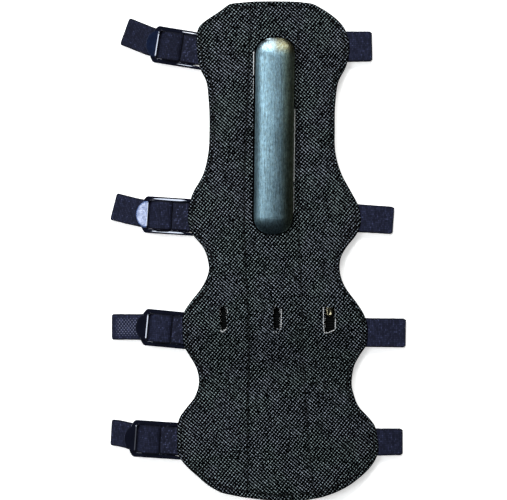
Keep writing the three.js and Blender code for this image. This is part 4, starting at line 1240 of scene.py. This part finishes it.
def strap_stations(s):
    out = []
    rx, ry, rt = buckle_rear(s)
    right = stub_turn(s)
    add = lambda x, y, z, turn, width: out.append((x, y, z, turn, width))
    stub_y = lambda x: s["root_y"] + (s["root_x"] - x) * math.tan(right)
    fold_r = (FOLD_Z - FLOOR_Z) / 2
    fold_x = s["tip_x"] - STRAP_T / 2 - fold_r
    for x in np.linspace(s["root_x"] - STRAP_IN, s["root_x"] + 0.6, 8):
        add(x, stub_y(x), SLAB_Z, right, s["stub_w"])
    for t in np.linspace(0, 1, 22)[1:]:
        x = s["root_x"] + 0.6 + (fold_x - s["root_x"] - 0.6) * t
        add(x, stub_y(x), SLAB_Z + (FOLD_Z - SLAB_Z) * ease(t), right, s["stub_w"])
    for i in range(1, 15):
        a = math.pi / 2 - math.pi * i / 14
        x = fold_x + fold_r * math.cos(a)
        add(x, stub_y(x), (FOLD_Z + FLOOR_Z) / 2 + fold_r * math.sin(a), right, s["stub_w"])
    ax, ay = -math.cos(rt), math.sin(rt)
    spot = lambda d: (rx + ax * d, ry + ay * d)
    fold = 26.6
    ex, ey = spot(fold)
    sx, sy = out[-1][0], out[-1][1]
    span = sx - ex
    width_at = lambda t: s["stub_w"] + (BAND_W - s["stub_w"]) * t
    for i in range(1, 91):
        t = i / 90
        y = hermite(sy, span * math.tan(right), ey, span * math.tan(rt), t)
        y2 = hermite(sy, span * math.tan(right), ey, span * math.tan(rt), t - 0.01)
        add(sx - span * t, y, FLOOR_Z, math.atan2(y - y2, span * 0.01), width_at(t))

    def side(d, z):
        x, y = spot(d)
        add(x, y, z, rt, BAND_W)

    back_r = (RETURN_Z - FLOOR_Z) / 2
    for i in range(1, 13):
        a = -math.pi / 2 + math.pi * i / 12
        side(fold + back_r * math.cos(a), FLOOR_Z + back_r + back_r * math.sin(a))
    above, below = BUCKLE["thick"] + 0.3 + STRAP_T / 2, -0.3 - STRAP_T / 2
    top_s, top_z = buckle_side(13.1, above)
    turn_r = (top_z - RETURN_Z) / 2
    for d in np.linspace(fold, top_s, 16)[1:-1]:
        side(d, RETURN_Z)
    for i in range(0, 21):
        a = -math.pi / 2 - math.pi * i / 20
        side(top_s + turn_r * math.cos(a), RETURN_Z + turn_r + turn_r * math.sin(a))
    fs, fz = buckle_side(15, above)
    px, py = spot(fs)
    tail = math.radians(s["tail_turn"])
    for d in np.arange(fs, 19.0, 0.55):
        side(d, buckle_side(d, above + (below - above) * float(smooth(18.4, 24.9, d)))[1])
    px, py = spot(19.0)
    reach = math.hypot(s["end_x"] - px, s["end_y"] - py)
    dx, dy = -math.cos(tail), math.sin(tail)
    for t in np.linspace(0, 1, int(reach / 0.55)):
        f = lambda q: (hermite(px, ax * reach, s["end_x"], dx * reach, q), hermite(py, ay * reach, s["end_y"], dy * reach, q))
        (x, y), (x2, y2) = f(t), f(t + 0.01)
        d = (x - rx) * ax + (y - ry) * ay
        h = above + (below - above) * float(smooth(18.4, 24.9, d))
        z = buckle_side(d, h)[1] if d < 29 else buckle_side(29, below)[1] - 1.3 * float(smooth(29, 48, d))
        add(x, y, z, math.atan2(y2 - y, x - x2), BAND_W + (s["tail_w"] - BAND_W) * float(smooth(25.5, 32, d)))
    return np.array(out)


def even(stations, step):
    """Stations at an even spacing, lightly rounded."""
    p = stations
    s = np.r_[0, np.cumsum(np.linalg.norm(np.diff(p[:, :3], axis=0), axis=1))]
    keep = np.r_[True, np.diff(s) > 1e-6]
    p, s = p[keep], s[keep]
    t = np.linspace(0, s[-1], int(s[-1] / step) + 1)
    q = np.c_[tuple(np.interp(t, s, p[:, k]) for k in range(p.shape[1]))]
    r = q.copy()
    r[1:-1] = 0.25 * q[:-2] + 0.5 * q[1:-1] + 0.25 * q[2:]
    return r, t


def ribbon(stations, length, thick, rib, ridge, crown=0.0, seed=0.0):
    """A woven band with rounded edges and ribs along it; returns vertices, faces and (s, w, side)."""
    pos, turn, width = stations[:, :3], stations[:, 3], stations[:, 4]
    t = unit(np.gradient(pos, axis=0))
    w = np.c_[np.sin(turn), np.cos(turn), np.zeros(len(turn))]
    n = unit(np.cross(t, w))
    w = unit(np.cross(n, t))
    inner = np.linspace(-0.94, 0.94, 37)
    top = np.r_[-1.0, -0.985, inner, 0.985, 1.0]
    shape = np.where(np.abs(top) > 0.94, np.sqrt(np.maximum(0.0, 1 - ((np.abs(top) - 0.94) / 0.06) ** 2)), 1.0)
    sect = [(q, +h) for q, h in zip(top, shape)] + [(q, -h) for q, h in zip(top[::-1][1:-1], shape[::-1][1:-1])]
    sect = np.array(sect)
    k = len(sect)
    m = len(pos)
    b = sect[:, 0][None, :] * (width / 2)[:, None]
    ribs = np.cos(2 * np.pi * b / rib)
    edge = np.clip((1 - np.abs(sect[:, 0])) / 0.12, 0, 1)[None, :]
    h = sect[:, 1][None, :] * (thick / 2) * (1 - ridge * (0.5 - 0.5 * ribs) * edge)
    edge_wave = np.array([noise.noise(Vector((q / 3.0, seed, 5.0))) for q in length]) * 0.12
    b = b + edge_wave[:, None] * sect[:, 0][None, :]
    v = pos[:, None, :] + w[:, None, :] * b[..., None] + n[:, None, :] * h[..., None]
    faces = []
    for i in range(m - 1):
        for j in range(k):
            j1 = (j + 1) % k
            faces.append((i * k + j, i * k + j1, (i + 1) * k + j1, (i + 1) * k + j))
    mid0, mid1 = m * k, m * k + 1
    for j in range(k):
        j1 = (j + 1) % k
        faces.append((mid0, j1, j))
        faces.append((mid1, (m - 1) * k + j, (m - 1) * k + j1))
    verts = np.vstack([v.reshape(-1, 3), pos[0], pos[-1]])
    rim = np.r_[(width[:, None] / 2 * (1 - np.abs(sect[:, 0]))[None, :]).ravel(), 3.0, 3.0]
    side = np.sign(sect[:, 1])
    sw = np.stack([np.repeat(length[:, None], k, 1), b, np.repeat(side[None, :], m, 0)], axis=2).reshape(-1, 3)
    sw = np.vstack([sw, (length[0], 0, 0), (length[-1], 0, 0)])
    return verts, faces, {"sw": sw, "rim": rim}


def outward_faces(verts, faces):
    """Turns the faces round if the closed form is inside out."""
    total = 0.0
    for t in faces[:]:
        p0 = verts[t[0]]
        for i in range(1, len(t) - 1):
            total += np.dot(p0, np.cross(verts[t[i]], verts[t[i + 1]]))
    return faces if total > 0 else [tuple(reversed(t)) for t in faces]


def build_strap(i, s):
    st, length = even(strap_stations(s), 0.75)
    last = length[-1]
    extra = np.linspace(last - 2.2, last, 15)
    cols = [np.interp(extra, length, st[:, k]) for k in range(5)]
    keep = length < last - 2.3
    st, length = np.vstack([st[keep], np.c_[tuple(cols)]]), np.r_[length[keep], extra]
    # inside the buckle the band spreads to the rails, and its lower run lies flat under them
    rx, ry, a = buckle_rear(s)
    vv = (rx - st[:, 0]) * math.cos(a) + (st[:, 1] - ry) * math.sin(a)
    low = smooth(RETURN_Z - 0.1, FLOOR_Z + 0.1, st[:, 2])
    st[:, 4] += np.maximum(0, 18.2 + 2.2 * low - st[:, 4]) * smooth(-12.0, -5.0, vv) * smooth(29.0, 26.2, vv)
    # the free end has rounded corners, the fold draws in a little
    e = last - length
    st[:, 4] -= 2 * np.where(e < 1.3, 1.3 - np.sqrt(np.maximum(0, 1.69 - (1.3 - e) ** 2)), 0)
    st[:, 4] -= 1.3 * smooth(1.1, 0.0, st[:, 0].max() - st[:, 0]) ** 1.5
    v, f, points = ribbon(st, length, STRAP_T, 1.05, 0.10, seed=10.0 + i)
    # the third tail is stretched, so that its light yarns show
    inside_rim = points["rim"]
    points["pale"] = (1.0 if i == 2 else 0.0) * smooth(24, 20, last - points["sw"][:, 0]) * smooth(1.6, 4.4, inside_rim) * smooth(1.6, 5.5, last - points["sw"][:, 0])
    points["tone"] = np.where(v[:, 0] < 0, (0.70, 0.97, 1.1, 0.9)[i], (1.02, 1.1, 1.05, 0.95)[i])
    return piece(f"strap_band_{i + 1}", v, outward_faces(v, f), ELASTIC, [f"strap_{i + 1}"], points, 50)


def loop_stations(s):
    rx, ry, rt = buckle_rear(s)
    edge = float(edge_left(ry)) - rx
    clear, v1 = 0.75, 9.45
    v0 = -clear
    h0, h1 = BUCKLE["rear_low"] - clear, BUCKLE["rear_high"] + clear
    pts = [(q, SLAB_Z) for q in np.linspace(-STRAP_IN - edge, -0.9, 18)]
    bend, hm = (h1 - h0) / 2, (h1 + h0) / 2
    ring = [(0.0, h1), (0.5 * (v1 - bend), h1), (v1 - bend, h1)]
    for i in range(1, 18):
        a = math.pi / 2 - math.pi * i / 18
        ring.append((v1 - bend + bend * math.cos(a), hm + bend * math.sin(a)))
    ring += [(v1 - bend, h0), (0.6 * (v1 - bend), h0), (0.3 * (v1 - bend), h0), (v0 + clear, h0)]
    for i in range(1, 9):
        a = -math.pi / 2 - math.pi / 2 * i / 8
        ring.append((v0 + clear + clear * math.cos(a), h0 + clear + clear * math.sin(a)))
    ring += [(v0, h1 - 1.35), (v0 - 0.02, h1 - 1.1)]
    pts += [buckle_side(v, h) for v, h in ring]
    return np.array([(rx - math.cos(rt) * q, ry + math.sin(rt) * q, z, rt, LOOP_W) for q, z in pts])


def build_loop(i, s):
    st, length = even(loop_stations(s), 0.42)
    v, f, points = ribbon(st, length, LOOP_T, 1.25, 0.10, seed=30.0 + i)
    points["pale"], points["tone"] = np.zeros(len(v)), np.ones(len(v))
    return piece(f"loop_band_{i + 1}", v, outward_faces(v, f), WEBBING, [f"buckle_loop_{i + 1}"], points, 50)


straps = [build_strap(i, s) for i, s in enumerate(STRAPS)]
loops = [build_loop(i, s) for i, s in enumerate(STRAPS)]


# ---------------------------------------------------------------- buckles
def rail_profile(band):
    """Flat-topped section of the frame with small rounded edges and columns for a sloped band in the middle."""
    pts = [(0.9 + 0.1 * math.cos(a), 0.9 + 0.1 * math.sin(a)) for a in np.radians(np.linspace(0, 90, 4))]
    pts += [(c, 1.0) for c in np.r_[np.linspace(0.9, band, 5)[1:], np.linspace(band, -band, 5)[1:-1], np.linspace(-band, -0.9, 5)[:-1]]]
    pts += [(-0.9 + 0.1 * math.cos(a), 0.9 + 0.1 * math.sin(a)) for a in np.radians(np.linspace(90, 180, 4))]
    pts += [(-0.9 + 0.1 * math.cos(a), -0.9 + 0.1 * math.sin(a)) for a in np.radians(np.linspace(180, 270, 3))]
    pts += [(0.9 + 0.1 * math.cos(a), -0.9 + 0.1 * math.sin(a)) for a in np.radians(np.linspace(270, 350, 3))]
    return np.array(pts).T


def superellipse(count, power):
    a = np.linspace(0, 2 * np.pi, count, endpoint=False)
    c, s = np.cos(a), np.sin(a)
    return np.sign(c) * np.abs(c) ** (2 / power), np.sign(s) * np.abs(s) ** (2 / power)


def frame_rows(sloped, ear):
    """Stations round the frame: outer point, inner point, low, high and width of the sloped part of the top."""
    b = BUCKLE
    hw, ho = b["width"] / 2, b["opening"] / 2 - 0.85
    rail = lambda v: b["thick"] + 0.25 - 0.042 * max(0.0, v)
    lean = lambda v: sloped[2] * max(0.0, math.sin(math.pi * min(1, max(0, (v - sloped[0]) / (sloped[1] - sloped[0]))))) ** 0.45
    rl, rh = b["rear_low"], b["rear_high"]
    half = []
    for w in np.linspace(0, hw - b["rear_radius"] - 1.2, 8):
        half.append(((0.0, w), (b["rear_bar"], min(w, ho - 0.6)), rl, rh, 0.0))
    # the side rails reach back past the rear bar, under the edge of the pad
    ears = [(0.0, ho + 0.15), (-0.2, ho + 0.45), (-0.6 * ear, ho + 0.85), (-0.9 * ear, ho + 1.1), (-ear, ho + 1.5), (-ear, hw - 0.7),
            (-ear + 0.25, hw - 0.25), (-ear + 0.8, hw), (-0.3 * ear, hw), (0.8, hw), (2.2, hw)]
    for i, o in enumerate(ears):
        t = i / (len(ears) - 1)
        k = ease(min(1, 1.6 * t))
        half.append((o, (b["rear_bar"] + 0.6 * t, ho - 0.6 + 0.6 * t), rl * (1 - k), rh + (rail(3) - rh) * k, lean(o[0]) * k))
    for v in np.linspace(4.0, b["front_from"] - 1.2, 24):
        iv = b["rear_bar"] + 0.6 + (v - 4.0) / (b["front_from"] - 5.2) * (b["front_from"] - 1.2 - b["rear_bar"])
        half.append(((v, hw), (iv, ho), 0.0, rail(v), lean(v)))
    corner = [(b["length"] - b["chamfer_v"] - 0.6, hw), (b["length"] - b["chamfer_v"] * 0.8, hw - b["chamfer_w"] * 0.12),
              (b["length"] - b["chamfer_v"] * 0.4, hw - b["chamfer_w"] * 0.5), (b["length"] - b["chamfer_v"] * 0.1, hw - b["chamfer_w"] * 0.85),
              (b["length"], hw - b["chamfer_w"] * 1.15)]
    for i, o in enumerate(corner):
        t = (i + 0.5) / len(corner)
        half.append((o, (b["front_from"] - 0.4 * (1 - t), ho - 0.9 * t), 0.0, rail(26.5), 0.0))
    for w in np.linspace(hw - b["chamfer_w"] * 1.3, 0, 10):
        half.append(((b["length"], w), (b["front_from"], min(w, ho - 1.0)), 0.0, 1.3 + (rail(26.5) - 1.3) * float(smooth(6.0, 7.3, w)), 0.0))
    return half + [((o[0], -o[1]), (q[0], -q[1]), lo, hi, k) for o, q, lo, hi, k in half[-2:0:-1]]


def ring_mesh(rows):
    v, f, count = [], [], len(rail_profile(0.5)[0])
    for o, q, lo, hi, k in rows:
        o, q = np.array(o), np.array(q)
        mid, arm = (o + q) / 2, (o - q) / 2
        band = min(0.75, max(0.12, k / 2 / max(0.3, abs(arm[1]))))
        for ci, si in zip(*rail_profile(band)):
            # the inner wall draws back towards the underside
            p = mid + arm * (ci + (0.11 * (1 - si) if ci < -0.6 else 0.0))
            slope = 0.42 * math.copysign(1, mid[1]) * k / 2 * max(-1.0, min(1.0, ci / band))
            v.append((p[0], p[1], (lo + hi) / 2 + (hi - lo) / 2 * si + slope * max(0.0, si)))
    m = len(rows)
    for i in range(m):
        i1 = (i + 1) % m
        for j in range(count):
            j1 = (j + 1) % count
            f.append((i * count + j, i * count + j1, i1 * count + j1, i1 * count + j))
    v = np.array(v)
    return v, outward_faces(v, f)


def lip_mesh(lean):
    """Raised straight edge of the tab, with a flat that leans outwards."""
    b = BUCKLE
    v0, top, half = b["bar_line"] - 0.4, b["thick"] + 0.48, b["tab_half"] + 0.1
    drop = 0.64 * math.tan(lean)
    prof = [(v0, 1.0), (v0, top - 0.03), (v0 + 0.03, top), (v0 + 0.67, top - drop), (v0 + 0.69, 1.0)]
    v, f, k = [], [], len(prof)
    ws = half * np.sin(np.linspace(-np.pi / 2, np.pi / 2, 19))
    for w in ws:
        fall = 0.6 * (max(0.0, abs(w) / half - 0.9) / 0.1) ** 2
        v += [(a, w, h - fall if h > 1.2 else h) for a, h in prof]
    for i in range(len(ws) - 1):
        for j in range(k):
            j1 = (j + 1) % k
            f.append((i * k + j, i * k + j1, (i + 1) * k + j1, (i + 1) * k + j))
    f.append(tuple(range(k)))
    f.append(tuple(reversed(range((len(ws) - 1) * k, len(ws) * k))))
    v = np.array(v)
    return v, outward_faces(v, f)


def bar_mesh(v0, v1, half, low, high, count=24, power=3.0, rows=12):
    """A rounded bar across the buckle."""
    c, s = superellipse(count, power)
    v, f = [], []
    ws = np.linspace(-half, half, rows)
    for w in ws:
        for ci, si in zip(c, s):
            v.append(((v0 + v1) / 2 + (v1 - v0) / 2 * ci, w, (low + high) / 2 + (high - low) / 2 * si))
    for i in range(rows - 1):
        for j in range(count):
            j1 = (j + 1) % count
            f.append((i * count + j, i * count + j1, (i + 1) * count + j1, (i + 1) * count + j))
    f.append(tuple(range(count)))
    f.append(tuple(reversed(range((rows - 1) * count, rows * count))))
    v = np.array(v)
    return v, outward_faces(v, f)


def tab_mesh(tilt, dish, round_off):
    """Half-disc thumb tab in front of the bar, rounded at its rim."""
    b = BUCKLE
    rings, arcs = 14, 33
    v, f = [], []
    rs = np.sin(np.linspace(0, np.pi / 2, rings))
    for top in (True, False):
        for r in rs:
            for a in np.linspace(-np.pi / 2, np.pi / 2, arcs):
                u, w = b["tab_reach"] * r * math.cos(a), b["tab_half"] * r * math.sin(a)
                rim = 1 - math.sqrt(max(0.0, 1 - max(0.0, (r - 0.86) / 0.14) ** 2))
                z = b["thick"] + u * math.tan(tilt) - dish * (1 - r * r) * (u / b["tab_reach"]) * 2.0
                v.append((b["bar_line"] + u, w, z - round_off * rim if top else z - 1.4 + 0.75 * u / b["tab_reach"] + 0.25 * rim))
    k = rings * arcs
    for i in range(rings - 1):
        for j in range(arcs - 1):
            q = (i * arcs + j, i * arcs + j + 1, (i + 1) * arcs + j + 1, (i + 1) * arcs + j)
            f.append(q)
            f.append(tuple(k + x for x in reversed(q)))
    e = (rings - 1) * arcs
    for j in range(arcs - 1):
        f.append((e + j, e + j + 1, k + e + j + 1, k + e + j))
    # straight side
    for col in (0, arcs - 1):
        for i in range(rings - 1):
            q = (i * arcs + col, (i + 1) * arcs + col, k + (i + 1) * arcs + col, k + i * arcs + col)
            f.append(q if col == 0 else tuple(reversed(q)))
    v = np.array(v)
    # the middle of the disc is one point above and one below
    merge = {}
    for j in range(arcs):
        merge[j] = 0
        merge[k + j] = k
    out = []
    for t in f:
        t = [merge.get(x, x) for x in t]
        t = [x for i, x in enumerate(t) if x != t[i - 1]]
        if len(t) > 2:
            out.append(tuple(t))
    used = sorted({x for t in out for x in t})
    index = {x: i for i, x in enumerate(used)}
    v = v[used]
    out = [tuple(index[x] for x in t) for t in out]
    return v, outward_faces(v, out)


def united(parts, slip, own):
    objs = []
    for i, (v, f) in enumerate(parts):
        mesh = bpy.data.meshes.new(f"part_{i}")
        mesh.from_pydata((np.asarray(v) + i * slip).tolist(), [], [tuple(int(x) for x in t) for t in f])
        mesh.update()
        o = bpy.data.objects.new(f"part_{i}", mesh)
        bpy.context.scene.collection.objects.link(o)
        objs.append(o)
    for o in objs[1:]:
        m = objs[0].modifiers.new("join", "BOOLEAN")
        m.operation, m.solver, m.object, m.use_self = "UNION", "EXACT", o, own
    dg = bpy.context.evaluated_depsgraph_get()
    e = objs[0].evaluated_get(dg)
    mesh = bpy.data.meshes.new_from_object(e)
    v = np.array([p.co[:] for p in mesh.vertices])
    f = [tuple(p.vertices) for p in mesh.polygons]
    for o in objs:
        d = o.data
        bpy.data.objects.remove(o)
        bpy.data.meshes.remove(d)
    bpy.data.meshes.remove(mesh)
    return v, f


def joined(parts):
    """One closed body of several that cut into each other; each part must still be there afterwards."""
    every = np.vstack([v for v, _ in parts])
    for slip, own in ((0.0, False), (0.0017, False), (0.0031, True), (0.0059, True)):
        v, f = united(parts, slip, own)
        if len(v) == 0 or np.abs(v.min(axis=0) - every.min(axis=0)).max() > 0.05 or np.abs(v.max(axis=0) - every.max(axis=0)).max() > 0.05:
            continue
        tree = KDTree(len(v))
        for i, p in enumerate(v):
            tree.insert(p, i)
        tree.balance()
        # the outermost points of every part have to lie on the joined body
        ends = [q[np.argmax(q @ d)] for q, _ in parts[:1] for d in np.array([(1, 1, 1), (1, -1, 1), (-1, 1, 1), (-1, -1, 1), (0, 1, 1), (0, -1, 1)], float)]
        if max(tree.find(p)[2] for p in ends) < 0.05:
            return v, f
    shift, v, f = 0, [], []
    for q, g in parts:
        v.append(q)
        f += [tuple(int(x) + shift for x in t) for t in g]
        shift += len(q)
    return np.vstack(v), f


# Lean of the tab, its dish, lean of its straight edge, where and how wide the rails' tops slope, reach of the rails
# behind the rear bar, how far the tab's rim is rounded off, and how much of the tab is rubbed rougher and given a
# painted blue reflection.
TABS = [(math.radians(1.0), 0.14, math.radians(20.0), (-5.5, 11.8, 0.55), 4.6, 0.05, 0.12),
        (math.radians(-17.0), 0.0, math.radians(20.0), (-4.0, 23.0, 1.4), 4.8, 0.2, 1.0),
        (math.radians(1.0), 0.14, math.radians(20.0), (-9.0, -8.0, 0.0), 1.5, 0.05, 0.0),
        (math.radians(1.0), 0.14, math.radians(9.0), (-9.0, -8.0, 0.0), 4.4, 0.05, 0.0)]


def build_buckle(i, s):
    b = BUCKLE
    tilt, dish, lean, sloped, ear, round_off, used = TABS[i]
    parts = [ring_mesh(frame_rows(sloped, ear)),
             bar_mesh(b["mid_from"], b["mid_to"], b["opening"] / 2 - 0.45, 0.0, b["thick"] - 0.6),
             tab_mesh(tilt, dish, round_off), lip_mesh(lean)]
    v, f = joined(parts)
    # the patch of the tab that is rubbed rougher and carries a painted blue reflection
    painted_reflection_patch = used * ((v[:, 0] > b["bar_line"] + 0.2) & (np.abs(v[:, 1]) < b["tab_half"] * np.sqrt(np.maximum(0, 1.02 - ((v[:, 0] - b["bar_line"]) / b["tab_reach"]) ** 2))))
    rx, ry, a = buckle_rear(s)
    p = b["pitch"]
    out, side = np.array([-math.cos(a), math.sin(a), 0]), np.array([math.sin(a), math.cos(a), 0])
    length = out * math.cos(p) + np.array([0, 0, math.sin(p)])
    lateral = -side
    normal = np.cross(length, lateral)
    v = np.array([rx, ry, b["rear_z"]]) + v[:, :1] * length + v[:, 1:2] * lateral + v[:, 2:] * normal
    return piece(f"buckle_body_{i + 1}", v, f, PLASTIC, [f"buckle_{i + 1}"], {"painted_reflection_patch": painted_reflection_patch.astype(float)}, 38)


buckles = [build_buckle(i, s) for i, s in enumerate(STRAPS)]

# ---------------------------------------------------------------- stage, light, camera
floor_mesh = bpy.data.meshes.new("floor")
floor_mesh.from_pydata([(-3, -3, 0), (3, -3, 0), (3, 3, 0), (-3, 3, 0)], [], [(0, 1, 2, 3)])
floor = bpy.data.objects.new("floor", floor_mesh)
floor_mesh.materials.append(floor_material())
bpy.context.scene.collection.objects.link(floor)


def soft_light(name, place, aim, size, power, colour):
    data = bpy.data.lights.new(name, "AREA")
    data.shape = "RECTANGLE"
    data.size, data.size_y = size
    data.energy, data.color = power, colour
    o = bpy.data.objects.new(name, data)
    o.location = place
    o.rotation_mode = "QUATERNION"
    o.rotation_quaternion = (Vector(aim) - Vector(place)).to_track_quat("-Z", "Y")
    o.visible_camera = False
    bpy.context.scene.collection.objects.link(o)
    return o


soft_light("left", (-1.33, 0.2, 1.75), (0, 0, 0), (1.8, 2.7), 15.0, (0.94, 0.98, 1.0))
soft_light("panel", (-1.057, 0.17, 1.907), (0, 0, 0), (0.75, 0.65), 16.5, (0.96, 0.98, 1.0))
soft_light("key", (-0.397, 1.869, 1.770), (0, 0, 0), (2.0, 0.85), 68.0, (0.93, 0.975, 1.0))
soft_light("back", (0.458, 2.157, 1.378), (0, 0, 0), (0.6, 0.6), 13.0, (1.0, 0.92, 0.78))
soft_light("right", (2.1, -0.2, 0.9), (0, 0, 0), (1.0, 1.0), 0.5, (1.0, 0.8, 0.3))

world = bpy.data.worlds.new("studio")
bpy.context.scene.world = world
world.use_nodes = True
world.node_tree.nodes["Background"].inputs[0].default_value = (0.80, 0.82, 0.84, 1.0)
world.node_tree.nodes["Background"].inputs[1].default_value = 0.04
bpy.context.scene.view_settings.view_transform = "Standard"

camera_data = bpy.data.cameras.new("camera")
camera_data.lens, camera_data.sensor_width, camera_data.sensor_fit = 150.0, 36.0, "AUTO"
camera = bpy.data.objects.new("camera", camera_data)
camera.location = ((-3.09 + SHIFT[0]) * MM, (0.98 + SHIFT[1]) * MM, (6.0 + 329.55 * 150.0 / 36.0) * MM)
bpy.context.scene.collection.objects.link(camera)
bpy.context.scene.camera = camera
